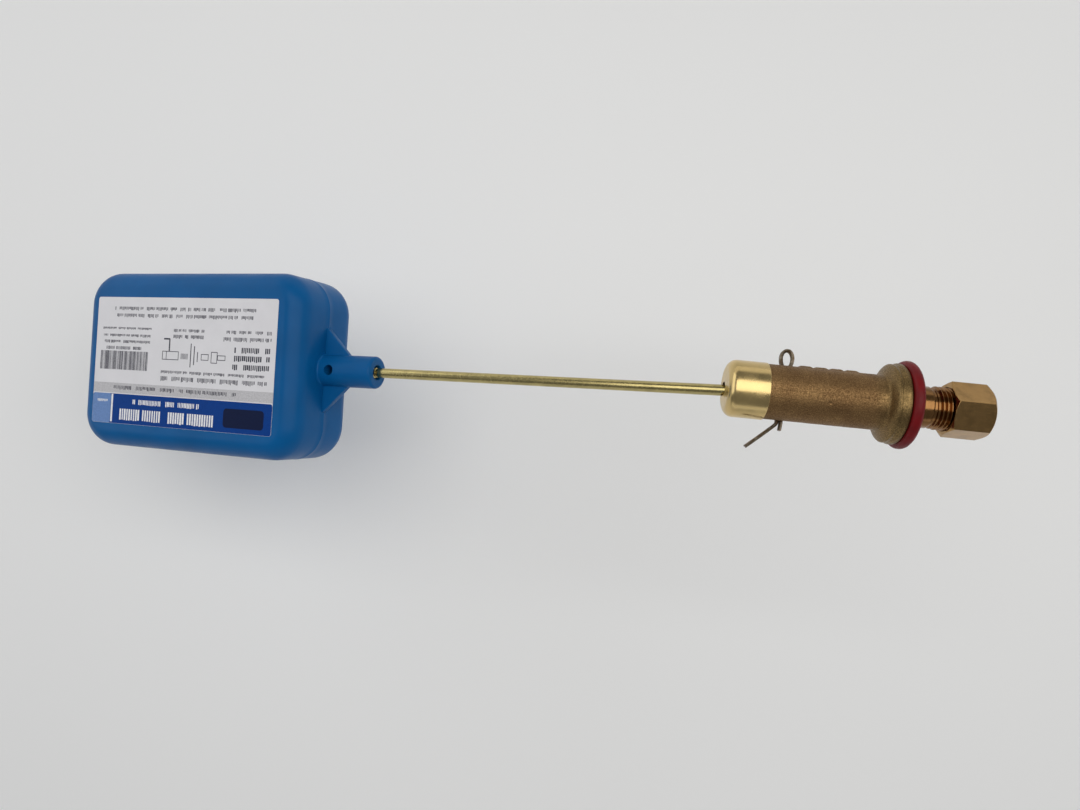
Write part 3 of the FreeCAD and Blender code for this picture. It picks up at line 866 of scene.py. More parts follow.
def print_tree(finish):
    """A row of upright printed strokes of uneven width and height, with gaps as between words."""
    tree = new_tree("Printed Row", [
        ("Start", "NodeSocketVector", None),
        ("Length", "NodeSocketFloat", 0.01),
        ("Height", "NodeSocketFloat", 0.001),
        ("Thickness", "NodeSocketFloat", 0.00001),
        ("Strokes", "NodeSocketInt", 10),
        ("Thinnest", "NodeSocketFloat", 0.3),
        ("Widest", "NodeSocketFloat", 0.8),
        ("Lowest", "NodeSocketFloat", 1.0),
        ("Gaps", "NodeSocketFloat", 0.0),
        ("Seed", "NodeSocketInt", 1),
    ])
    given = tree.nodes.new("NodeGroupInput").outputs
    maths = arithmetic(tree)
    step = maths("DIVIDE", given["Length"], given["Strokes"])
    shift = add_node(tree, "ShaderNodeCombineXYZ", {"X": maths("MULTIPLY", step, 0.5)})
    first = add_node(tree, "ShaderNodeVectorMath", {
        0: given["Start"], 1: shift.outputs[0],
    }, operation="ADD")
    stride = add_node(tree, "ShaderNodeCombineXYZ", {"X": step})
    row = add_node(tree, "GeometryNodeMeshLine", {
        "Count": given["Strokes"], "Start Location": first.outputs[0], "Offset": stride.outputs[0],
    })
    share = add_node(tree, "FunctionNodeRandomValue", {
        2: given["Thinnest"], 3: given["Widest"], "Seed": given["Seed"],
    }, data_type="FLOAT").outputs[1]
    tallness = add_node(tree, "FunctionNodeRandomValue", {
        2: given["Lowest"], 3: 1.0, "Seed": maths("ADD", given["Seed"], 100),
    }, data_type="FLOAT").outputs[1]
    height = maths("MULTIPLY", given["Height"], tallness)
    drop = maths("MULTIPLY", maths("SUBTRACT", given["Height"], height), 0.5)
    lowered = add_node(tree, "ShaderNodeCombineXYZ", {"Y": drop})
    placed = add_node(tree, "GeometryNodeSetPosition", {
        "Geometry": row.outputs[0], "Offset": lowered.outputs[0],
    })
    size = add_node(tree, "ShaderNodeCombineXYZ", {
        "X": maths("MULTIPLY", step, share), "Y": height, "Z": given["Thickness"],
    })
    index = add_node(tree, "GeometryNodeInputIndex").outputs[0]
    along = maths("ADD", maths("MULTIPLY", index, 0.23), maths("MULTIPLY", given["Seed"], 7.3))
    words = add_node(tree, "ShaderNodeTexNoise", {
        "W": along, "Scale": 1.0, "Detail": 0.0,
    }, noise_dimensions="1D")
    kept = maths("GREATER_THAN", words.outputs[0], given["Gaps"])
    mark = add_node(tree, "GeometryNodeMeshCube")
    marks = add_node(tree, "GeometryNodeInstanceOnPoints", {
        "Points": placed.outputs[0], "Selection": kept, "Instance": mark.outputs[0],
        "Scale": size.outputs[0],
    })
    end_tree(tree, marks.outputs[0], finish)
    return tree


def joined(name, pieces):
    """One object from several, which are used up."""
    work = bmesh.new()
    for piece in pieces:
        work.from_mesh(piece.data)
        bpy.data.objects.remove(piece)
    return work_object(name, work)


# ---------------------------------------------------------------- valve

def smooth_step(value, start, end):
    """Rises from 0 to 1 between two limits."""
    share = min(1.0, max(0.0, (value - start) / (end - start)))
    return share * share * (3 - 2 * share)


def through_points(points, steps):
    """Smooth run through a few points, as a Catmull-Rom spline."""
    padded = [points[0]] + list(points) + [points[-1]]
    out = []
    for index in range(1, len(padded) - 2):
        before, start, end, after = (Vector(point) for point in padded[index - 1:index + 3])
        for step in range(steps):
            t = step / steps
            out.append(tuple(0.5 * (
                2 * start + (end - before) * t
                + (2 * before - 5 * start + 4 * end - after) * t * t
                + (3 * start - before - 3 * end + after) * t ** 3
            )))
    out.append(tuple(points[-1]))
    return out


class CastSkin:
    """Height of the casting's skin over its plain turned shape."""

    def __init__(self, sizes):
        self.sizes = sizes
        self.rim = high("outlet_cap", 0)
        self.front = low("wall_gasket", 0)
        self.pad_from = PIVOT.x + 3.0 * MM
        self.pad_pitch = 3.9 * MM
        self.pad_length = 3.1 * MM
        self.pad_half_width = 1.75 * MM

    def grain(self, point):
        """Uneven skin that the sand leaves."""
        coarse = noise.noise(point * 700) * 0.45
        medium = noise.noise(point * 1600 + Vector((5, 0, 0))) * 0.35
        fine = noise.noise(point * 3300 + Vector((0, 9, 0))) * 0.28
        return (coarse + medium + fine) * self.sizes.grain_height

    def parting(self, x, radius, angle):
        """Fine ridge and step where the two halves of the mould met."""
        ridge_width, ridge_height = 0.17 * MM, 0.095 * MM
        step_width, step_height = 0.2 * MM, 0.030 * MM
        around = math.cos(angle) * radius + noise.noise(Vector((x * 420, 0, 3))) * 0.12 * MM
        ridge = math.exp(-(around / ridge_width) ** 2) * ridge_height
        ridge *= 0.65 + 0.35 * noise.noise(Vector((x * 900, 4, 0)))
        step = math.tanh(around / step_width) * step_height
        return ridge + step

    def pads(self, x, radius, angle):
        """Plain raised pads along the side of the eye."""
        around = abs(math.atan2(math.sin(angle), math.cos(angle))) * radius
        soft = 0.60 * MM
        across = 1 - smooth_step(around, self.pad_half_width - soft, self.pad_half_width + soft)
        if across == 0:
            return 0
        along = 0
        for index in range(self.sizes.pad_count):
            middle = self.pad_from + (index + 0.5) * self.pad_pitch
            reach = self.pad_length / 2
            along += 1 - smooth_step(abs(x - middle), reach - soft, reach + soft)
        return across * along * self.sizes.pad_height

    def pit(self, x, radius, angle):
        """Small blow hole beside the parting line."""
        pit_radius, pit_depth = 0.26 * MM, 0.28 * MM
        along = x - (PIVOT.x + 9.9 * MM)
        around = (angle - math.radians(110)) * radius
        distance = math.hypot(along, around)
        return -math.exp(-(distance / pit_radius) ** 2) * pit_depth

    def __call__(self, x, radius, angle):
        """All of the skin's height at one point, faded out beside the cap and the gasket."""
        if radius < self.sizes.barrel_radius * 0.995 or x < self.rim - 0.01 * MM:
            return 0
        fade = smooth_step(x, self.rim, self.rim + 0.6 * MM)
        fade *= 1 - smooth_step(x, self.front - 0.5 * MM, self.front - 0.02 * MM)
        point = Vector((x, radius * math.cos(angle), radius * math.sin(angle)))
        on_barrel = 1 - smooth_step(radius, self.sizes.barrel_radius, self.sizes.barrel_radius + 0.5 * MM)
        height = self.grain(point) + self.parting(x, radius, angle)
        height += on_barrel * (self.pads(x, radius, angle) + self.pit(x, radius, angle))
        return height * fade


def cast_outline(sizes):
    """Closed outline of the casting, from the spigot under the cap to the flange's front."""
    front = low("wall_gasket", 0)
    rim = high("outlet_cap", 0)
    spigot_end = low("valve_body", 0)
    spigot_radius = high("outlet_cap", 1) - sizes.cap_wall
    barrel, flange = sizes.barrel_radius, sizes.flange_radius
    rim_back = front - sizes.rim_width
    valley_back = rim_back - sizes.valley_width
    flange_back = valley_back - sizes.shoulder_length
    skin_room = sizes.grain_height * 1.2
    crest = flange - skin_room
    flare = through_points([
        (flange_back - 0.35 * MM, barrel),
        (flange_back + 0.05 * MM, barrel + 0.10 * MM),
        (flange_back + 0.40 * MM, barrel + 0.60 * MM),
        (flange_back + 0.80 * MM, barrel + 1.55 * MM),
        (valley_back - 0.55 * MM, crest - 0.72 * MM),
        (valley_back - 0.10 * MM, crest - 0.34 * MM),
        (valley_back + 0.50 * MM, crest - sizes.valley_depth),
        (rim_back + 0.10 * MM, crest - 0.24 * MM),
        (rim_back + 0.70 * MM, crest - 0.02 * MM),
        (front - 0.40 * MM, crest - 0.12 * MM),
    ], 5)
    seat_low, seat_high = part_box("orifice_seat")
    ledge_radius = seat_high[1]
    throat = 2.60 * MM
    web_start = seat_low[0] + 2.60 * MM
    web_step = web_start + 0.90 * MM
    guide_start = low("plunger", 0) - 0.5 * MM
    points = [
        (spigot_end, sizes.chamber_radius, 0.15 * MM),
        (spigot_end, spigot_radius, 0.35 * MM),
        (rim - 0.05 * MM, spigot_radius),
        (rim, barrel, 0.12 * MM),
    ]
    inside = [
        (front, crest - 0.45 * MM, 0.2 * MM),
        (front, sizes.inlet_radius),
        (seat_high[0], sizes.inlet_radius),
        (seat_high[0], throat),
        (web_step, throat),
        (web_step, ledge_radius),
        (web_start, ledge_radius),
        (web_start, sizes.guide_radius),
        (guide_start + sizes.chamber_radius - sizes.guide_radius, sizes.guide_radius),
        (guide_start, sizes.chamber_radius),
    ]
    return rounded(points + flare + inside)


class FLOATVALVE_OT_casting(bpy.types.Operator):
    """Sand-cast barrel and flange, with the grain, parting line, plain pads and bores"""

    bl_idname = "float_valve.casting"
    bl_label = "Casting"

    def execute(self, context):
        sizes, _, _ = settings()
        skin = CastSkin(sizes)

        def longest(start, end):
            outer = min(start[1], end[1]) > sizes.barrel_radius * 0.99
            on_skin = min(start[0], end[0]) > skin.rim - 0.02 * MM
            return 0.2 * MM if outer and on_skin else 5 * MM

        outline = refined(cast_outline(sizes), longest)
        piece = turned("barrel_casting", outline, 256, skin)
        reach = sizes.barrel_radius + 2 * MM
        hole = cylinder(
            "pin_hole", sizes.pin_radius + 0.12 * MM,
            (PIVOT.x, -reach, PIVOT.z), (PIVOT.x, reach, PIVOT.z),
        )
        combined(piece, hole, "DIFFERENCE")
        half_slot = high("float_rod", 1) + 0.2 * MM
        lip = low("valve_body", 0)
        notch = block("notch", (lip - MM, -half_slot, -6.12 * MM), (lip + 0.9 * MM, half_slot, 0))
        combined(piece, notch, "DIFFERENCE")
        place_piece(piece, "cast_brass", "valve", "cast_brass", "valve_body")
        return {"FINISHED"}


class FLOATVALVE_OT_shank(bpy.types.Operator):
    """Turned neck and shank with a helical compression thread and the tube socket"""

    bl_idname = "float_valve.shank"
    bl_label = "Threaded Shank"

    def execute(self, context):
        sizes, _, _ = settings()
        front = low("wall_gasket", 0)
        end = high("valve_body", 0)
        root = sizes.thread_radius - THREAD_DEPTH * sizes.thread_pitch
        mouth = 4.25 * MM
        cone_depth = (mouth - sizes.tube_radius) / math.tan(math.radians(30))
        core = turned("threaded_shank", rounded([
            (front, sizes.inlet_radius),
            (front, sizes.neck_radius),
            (sizes.neck_length, sizes.neck_radius, 0.25 * MM),
            (sizes.neck_length + 0.35 * MM, root, 0.1 * MM),
            (end, root, 0.15 * MM),
            (end, mouth, 0.08 * MM),
            (end - cone_depth, sizes.tube_radius),
            (end - sizes.socket_depth, sizes.tube_radius),
            (end - sizes.socket_depth, sizes.inlet_radius),
        ]), 128)
        sink = 0.05 * MM
        half_ridge = HALF_RIDGE * sizes.thread_pitch
        start = sizes.neck_length + 0.15 * MM + half_ridge
        # The shank and its thread take the darkened brass, which paints the shade between the gasket and
        # the nut into their colour.
        ridge = grown("ridge", thread_tree(material("machined_brass")), {
            "Start": start, "Length": end - half_ridge - start, "Pitch": sizes.thread_pitch,
            "Root Radius": root - sink, "Crest Radius": sizes.thread_radius,
        })
        piece = joined("threaded_shank", [core, ridge])
        place_piece(piece, "machined_brass", "valve", "machined_brass", "valve_body")
        return {"FINISHED"}


class FLOATVALVE_OT_cap(bpy.types.Operator):
    """Drawn and polished cap with its round-topped slot for the rod"""

    bl_idname = "float_valve.cap"
    bl_label = "Outlet Cap"

    def execute(self, context):
        sizes, float_sizes, _ = settings()
        end, rim = low("outlet_cap", 0), high("outlet_cap", 0)
        radius = high("outlet_cap", 1)
        wall = sizes.cap_wall
        middle = 0.05 * MM
        outline = rounded([
            (end, middle),
            (end, radius, sizes.cap_corner),
            (rim, radius, wall * 0.45),
            (rim, radius - wall, wall * 0.2),
            (end + wall, radius - wall, sizes.cap_corner - wall),
            (end + wall, middle),
        ], 14)
        piece = turned("drawn_cap", refined(outline, 0.8 * MM), 160)
        half_slot = float_sizes.rod_radius + 0.2 * MM
        top = slot_top(float_sizes, end, wall)
        floor = -6.85 * MM
        reach = end + sizes.cap_corner
        corners = [(end - MM, -half_slot, floor), (end - MM, half_slot, floor)]
        for along, up in arc(0, math.pi, 16):
            corners.append((end - MM, half_slot * along, top - half_slot + half_slot * up))
        tool = prism("slot", corners, (reach - end + MM, 0, 0))
        combined(piece, tool, "DIFFERENCE")
        eased_edges(piece, 0.06 * MM, 2, 50)
        place_piece(piece, "polished_brass", "valve", "polished_brass", "outlet_cap")
        return {"FINISHED"}


def slot_top(float_sizes, end, wall):
    """Top of the cap's slot, just above the rod when the float is up."""
    lift = math.radians(JOINTS["float_swing"]["range_deg"][1])
    tilt = float_sizes.droop - lift
    distance = PIVOT.x - end - wall
    centre = PIVOT.z + float_sizes.rod_offset / math.cos(tilt) - distance * math.tan(tilt)
    return centre + float_sizes.rod_radius / math.cos(tilt) + 0.25 * MM


class FLOATVALVE_OT_gasket(bpy.types.Operator):
    """Red rubber ring in front of the flange, with a rounded edge and a faint mould line"""

    bl_idname = "float_valve.gasket"
    bl_label = "Wall Gasket"

    def execute(self, context):
        sizes, _, _ = settings()
        back, front = low("wall_gasket", 0), high("wall_gasket", 0)
        radius = high("wall_gasket", 1)
        inner = sizes.neck_radius + 0.25 * MM
        corner = (front - back) * 0.46
        middle = (front + back) / 2

        def swell(x, r, angle):
            if r < radius - corner:
                return 0
            line = math.exp(-((x - middle) / (0.07 * MM)) ** 2) * 0.03 * MM
            wave = noise.noise(Vector((math.cos(angle) * 2, math.sin(angle) * 2, x * 300))) * 0.02 * MM
            return line + wave - 0.05 * MM

        outline = rounded([
            (back, inner, 0.15 * MM), (back, radius, corner),
            (front, radius, corner), (front, inner, 0.15 * MM),
        ], 12)
        piece = turned("rubber_gasket", refined(outline, 0.35 * MM), 160, swell)
        place_piece(piece, "red_rubber", "valve", "red_rubber", "wall_gasket", sharp=60)
        return {"FINISHED"}


class FLOATVALVE_OT_nut(bpy.types.Operator):
    """Hexagonal compression nut with bevelled corners and softened edges"""

    bl_idname = "float_valve.nut"
    bl_label = "Compression Nut"

    def execute(self, context):
        sizes, _, _ = settings()
        start, end = low("compression_nut", 0), high("compression_nut", 0)
        flat = sizes.nut_flats / 2
        corner = flat / math.cos(math.pi / 6)
        bore = sizes.thread_radius + 0.08 * MM
        step_radius = sizes.tube_radius + 1.15 * MM
        seat = high("compression_sleeve", 0)
        slope = math.tan(math.radians(30))
        step_place = seat - (step_radius - sizes.tube_radius) / slope + 0.3 * MM
        envelope = rounded([
            (start, bore, 0.1 * MM),
            (start, sizes.nut_end_radius, 0.12 * MM),
            (start + sizes.nut_back_bevel, corner + 0.02 * MM, 0.2 * MM),
            (end - sizes.nut_front_bevel, corner + 0.02 * MM, 0.2 * MM),
            (end, sizes.nut_end_radius, 0.2 * MM),
            (end, sizes.tube_radius, 0.35 * MM),
            (seat + 0.3 * MM, sizes.tube_radius),
            (step_place, step_radius),
            (step_place - (bore - step_radius), bore),
        ], 12)

        def swell(x, r, angle):
            """Cuts the turned blank down to the six flats, with a soft edge."""
            if r < bore + 0.3 * MM or not start + 0.01 * MM < x < end - 0.01 * MM:
                return 0
            turn = (angle - sizes.nut_turn) % (math.pi / 3) - math.pi / 6
            hexagon = flat / math.cos(turn)
            blend = 0.06 * MM
            share = min(1, max(0, 0.5 + (r - hexagon) / (2 * blend)))
            soft = r * (1 - share) + hexagon * share - blend * share * (1 - share)
            return soft - r

        def longest(first, last):
            return 0.2 * MM if min(first[1], last[1]) > bore + 0.3 * MM else 2 * MM

        piece = turned("hexagon_nut", refined(envelope, longest), 288, swell)
        place_piece(piece, "nut_brass", "nut", "machined_brass", "compression_nut", sharp=50)
        return {"FINISHED"}


class FLOATVALVE_OT_pin(bpy.types.Operator):
    """Split pin of one half-round wire, with its eye, short prong and long bent prong"""

    bl_idname = "float_valve.pin"
    bl_label = "Cotter Pin"

    def execute(self, context):
        sizes, _, _ = settings()
        radius = sizes.pin_radius
        wall = math.sqrt(sizes.barrel_radius ** 2 - PIVOT.z ** 2)
        top = high("cotter_pin", 1)
        tip = low("cotter_pin", 1)
        leg = radius * 0.5
        wide = sizes.pin_eye_radius
        eye = Vector((0.90 * MM, top - leg - wide * 1.50, 0))
        rise, fall = wide * 1.50, eye.y - wall - 0.10 * MM
        path = [Vector((leg - 0.4 * MM, -wall - 2.7 * MM, 0)), Vector((leg, -wall + 0.3 * MM, 0))]
        path.append(Vector((leg, wall - 0.3 * MM, 0)))
        for across, up in arc(math.radians(-52), math.radians(232), 28):
            tall = rise if up > 0 else fall
            path.append(eye + Vector((across * wide, up * tall, 0)))
        path += [Vector((-leg, wall - 0.3 * MM, 0)), Vector((-leg, -wall, 0))]
        bend = 1.5 * MM
        turn = sizes.pin_bend
        corner = Vector((-leg - bend, -wall - 0.35 * MM, 0))
        for along, across in arc(0, turn, 8):
            path.append(corner + Vector((along * bend, -across * bend, 0)))
        heading = Vector((-math.sin(turn), -math.cos(turn), 0))
        length = (path[-1].y - tip - 0.6 * MM) / math.cos(turn)
        path.append(path[-1] + heading * length * 0.5 + Vector((0.04, -0.05, 0)) * MM)
        path.append(path[-2] + heading * length)
        path = evened(path, 0.22 * MM)
        section = [
            (-leg * 0.9, -radius * 0.80), (-leg, -radius * 0.62),
            (-leg, radius * 0.62), (-leg * 0.9, radius * 0.80),
        ]
        for across, out in arc(math.radians(12), math.radians(168), 14):
            section.append((out * radius * 0.92 - leg, across * radius * 0.95))
        piece = swept("split_pin", path, section, Z_AXIS)
        piece.data.transform(Matrix.Translation(PIVOT))
        place_piece(piece, "pin_steel", "valve", "pin_steel", "cotter_pin", sharp=50)
        return {"FINISHED"}


def evened(path, spacing):
    """Same path with evenly spaced points and its corners eased."""
    for _ in range(2):
        eased = [path[0]]
        for first, last in zip(path, path[1:]):
            eased += [first.lerp(last, 0.25), first.lerp(last, 0.75)]
        path = eased + [path[-1]]
    out = [path[0]]
    for point in path[1:]:
        gap = (point - out[-1]).length
        if gap >= spacing:
            count = int(gap / spacing)
            start = out[-1]
            out += [start.lerp(point, (step + 1) / count) for step in range(count)]
    out.append(path[-1])
    return out


# ---------------------------------------------------------------- float arm

def arm_matrix():
    """From the level rod's own frame, its axis along X, to the rest pose."""
    _, sizes, _ = settings()
    turn = Matrix.Rotation(-sizes.droop, 4, "Y")
    return Matrix.Translation(PIVOT) @ turn @ Matrix.Translation((0, 0, sizes.rod_offset))


def float_matrix():
    """From the level float's own frame to the rest pose."""
    _, sizes, _ = settings()
    return arm_matrix() @ Matrix.Rotation(sizes.roll, 4, "X")


class FLOATVALVE_OT_rod(bpy.types.Operator):
    """Drawn brass rod with a rolled thread in the float's boss"""

    bl_idname = "float_valve.rod"
    bl_label = "Float Rod"

    def execute(self, context):
        _, sizes, _ = settings()
        thread_start = sizes.reach - sizes.boss_length - 0.6 * MM
        thread_end = thread_start + 13.5 * MM
        root = sizes.rod_thread_radius - THREAD_DEPTH * sizes.rod_thread_pitch
        rod = turned("drawn_rod", refined(rounded([
            (-sizes.rod_grip, 0),
            (-thread_end, 0),
            (-thread_end, root, 0.2 * MM),
            (-thread_start - 0.3 * MM, root),
            (-thread_start, sizes.rod_radius, 0.1 * MM),
            (-sizes.rod_grip, sizes.rod_radius, 0.2 * MM),
        ]), 6 * MM), 64)
        half_ridge = HALF_RIDGE * sizes.rod_thread_pitch
        ridge = grown("ridge", thread_tree(material("rod_brass")), {
            "Start": -thread_end + half_ridge, "Length": thread_end - thread_start - 2 * half_ridge,
            "Pitch": sizes.rod_thread_pitch, "Root Radius": root - 0.04 * MM,
            "Crest Radius": sizes.rod_thread_radius, "Steps": 40,
        })
        piece = joined("drawn_rod", [rod, ridge])
        piece.data.transform(arm_matrix())
        place_piece(piece, "rod_brass", "float_arm", "rod_brass", "float_rod")
        return {"FINISHED"}


def float_skin(sizes, inset, name):
    """Closed rounded box in the float's frame. inset 0 is the outside, with the seam's bead."""
    half_length = sizes.length / 2 - inset
    half_width = sizes.width / 2 - inset
    half_height = sizes.thickness / 2 - inset
    corner = sizes.corner - inset
    edge = sizes.edge - inset
    bead = sizes.seam_height if inset == 0 else 0

    def loop(depth):
        """Rounded rectangle, drawn in by a depth."""
        points = []
        radius = corner - depth
        for quarter, (sx, sy) in enumerate(QUARTERS):
            middle = Vector((sx * (half_length - corner), sy * (half_width - corner)))
            for x, y in arc(math.pi / 2 * quarter, math.pi / 2 * (quarter + 1), 14):
                points.append(middle + Vector((x, y)) * radius)
        out = []
        for index, start in enumerate(points):
            end = points[(index + 1) % len(points)]
            pieces = 12 if (index + 1) % 15 == 0 else 1
            out += [start.lerp(end, step / pieces) for step in range(pieces)]
        return out

    rows = [(0.10 * MM, 0.0), (0.22 * MM, bead * 0.25), (0.42 * MM, bead)]
    straight = half_height - edge
    rows += [(0.42 * MM + (straight - 0.42 * MM) * step / 4, bead) for step in range(1, 5)]
    for inwards, up in arc(0, math.pi / 2, 12)[1:]:
        rows.append((straight + edge * up, bead + (edge - bead) * (1 - inwards)))
    full = [(-height, depth) for height, depth in reversed(rows)] + rows
    centre = Vector((-sizes.reach - sizes.length / 2, 0, 0))
    points = []
    for height, depth in full:
        points += [centre + Vector((x, y, height)) for x, y in loop(depth)]
    made = mesh_object(name, points, tube_faces(len(full), len(loop(0))))
    point_outwards(made)
    return made


def boss_solid(sizes):
    """Boss with a flared foot, a rounded mouth and a blind bore."""
    wall = -sizes.reach
    mouth = wall + sizes.boss_length
    radius = sizes.boss_radius
    floor = wall + 2.2 * MM
    foot = 1.0 * MM
    bore = sizes.rod_thread_radius + 0.03 * MM
    outline = rounded([
        (wall - foot, 0),
        (wall - foot, radius + foot),
        (wall - 0.02 * MM, radius + foot),
        (wall + 0.02 * MM, radius, 0.9 * MM),
        (mouth, radius, 0.9 * MM),
        (mouth, sizes.boss_mouth, 0.3 * MM),
        (mouth - 1.8 * MM, sizes.boss_mouth),
        (mouth - 2.3 * MM, bore),
        (floor, bore),
        (floor, 0),
    ], 6)
    boss = turned("boss", outline, 72)
    boss.data.transform(Matrix.Rotation(math.pi / 72, 4, "X"))
    return boss


def rib_solid(sizes, side):
    """Triangular rib in the seam's plane, on one side of the boss."""
    wall = -sizes.reach
    half = sizes.rib_thickness / 2
    radius = sizes.boss_radius
    corners = [
        (wall - 0.8 * MM, side * (radius - 1.5 * MM), -half),
        (wall - 0.8 * MM, side * (radius + sizes.rib_spread), -half),
        (wall, side * (radius + sizes.rib_spread), -half),
        (wall + sizes.rib_reach, side * (radius - 0.4 * MM), -half),
        (wall + sizes.rib_reach, side * (radius - 1.5 * MM), -half),
    ]
    return prism("rib", corners, (0, 0, sizes.rib_thickness), 0.35 * MM)


class FLOATVALVE_OT_float(bpy.types.Operator):
    """Two hollow halves of the moulded float, with the seam's bead, boss, ribs and cross hole"""

    bl_idname = "float_valve.float"
    bl_label = "Float"

    def execute(self, context):
        _, sizes, _ = settings()
        whole = float_skin(sizes, 0, "float_skin")
        combined(whole, boss_solid(sizes), "UNION")
        for side in (1, -1):
            combined(whole, rib_solid(sizes, side), "UNION")
        combined(whole, float_skin(sizes, sizes.wall, "cavity"), "DIFFERENCE")
        place = -sizes.reach + sizes.boss_hole_place
        hole = cylinder("hole", sizes.boss_hole, (place, 0, 0), (place, 0, sizes.boss_radius + MM))
        combined(whole, hole, "DIFFERENCE")
        reach = sizes.reach + sizes.length + 10 * MM
        for name, base, top in (("upper", 0, reach), ("lower", -reach, 0)):
            half = whole.copy()
            half.data = whole.data.copy()
            half.name = f"float_{name}_half"
            bpy.context.scene.collection.objects.link(half)
            space = block("space", (-reach, -reach, base), (0, reach, top))
            combined(half, space, "INTERSECT")
            half.data.transform(float_matrix())
            place_piece(half, "blue_plastic", "float_arm", "blue_plastic", f"float_{name}_shell", sharp=40)
        bpy.data.objects.remove(whole)
        return {"FINISHED"}


class LabelPage:
    """Places on the label, in millimetres from its far lower corner, at the print's height."""

    def __init__(self, sizes):
        self.sizes = sizes
        self.far = -sizes.reach - sizes.length / 2 - sizes.label_shift_along - sizes.label_length / 2
        self.near_side = sizes.label_shift_across - sizes.label_width / 2
        self.face = sizes.thickness / 2
        self.top = self.face + sizes.label_thickness - 0.03 * MM
        self.print_height = 0.014 * MM
        self.layer_height = 0.006 * MM
        self.tree = None

    def at(self, along, across, lift=0.0):
        """Point on the label, in millimetres from its far and near edges."""
        return Vector((self.far + along * MM, self.near_side + across * MM, self.top + lift))

    def patch(self, along, across, length, width, layer=0, corner=0.0):
        """Thin printed rectangle, its corners rounded if wanted."""
        lift = layer * self.layer_height
        if corner:
            loop = []
            for quarter, (sx, sy) in enumerate(QUARTERS):
                middle_x = along + (length - corner if sx > 0 else corner)
                middle_y = across + (width - corner if sy > 0 else corner)
                for x, y in arc(math.pi / 2 * quarter, math.pi / 2 * (quarter + 1), 6):
                    loop.append(self.at(middle_x + x * corner, middle_y + y * corner))
        else:
            loop = [
                self.at(along, across), self.at(along + length, across),
                self.at(along + length, across + width), self.at(along, across + width),
            ]
        return prism("patch", loop, (0, 0, self.print_height + lift))

    def row(self, along, across, length, height, strokes, seed, widths=(0.35, 0.75), lowest=0.6, gaps=0.36):
        """Row of printed strokes, its middle line at a distance across the label."""
        thickness = self.print_height + self.layer_height
        if not self.tree:
            self.tree = print_tree(material("dark_ink"))
        return grown("row", self.tree, {
            "Start": self.at(along, across, thickness / 2), "Length": length * MM, "Height": height * MM,
            "Thickness": thickness, "Strokes": strokes, "Thinnest": widths[0], "Widest": widths[1],
            "Lowest": lowest, "Gaps": gaps, "Seed": seed,
        })

    def publish(self, name, pieces, finish):
        """Joins printed marks into one piece and puts it on the float."""
        piece = joined(name, pieces)
        piece.data.transform(float_matrix())
        place_piece(piece, finish, "float_arm", "label_paper")


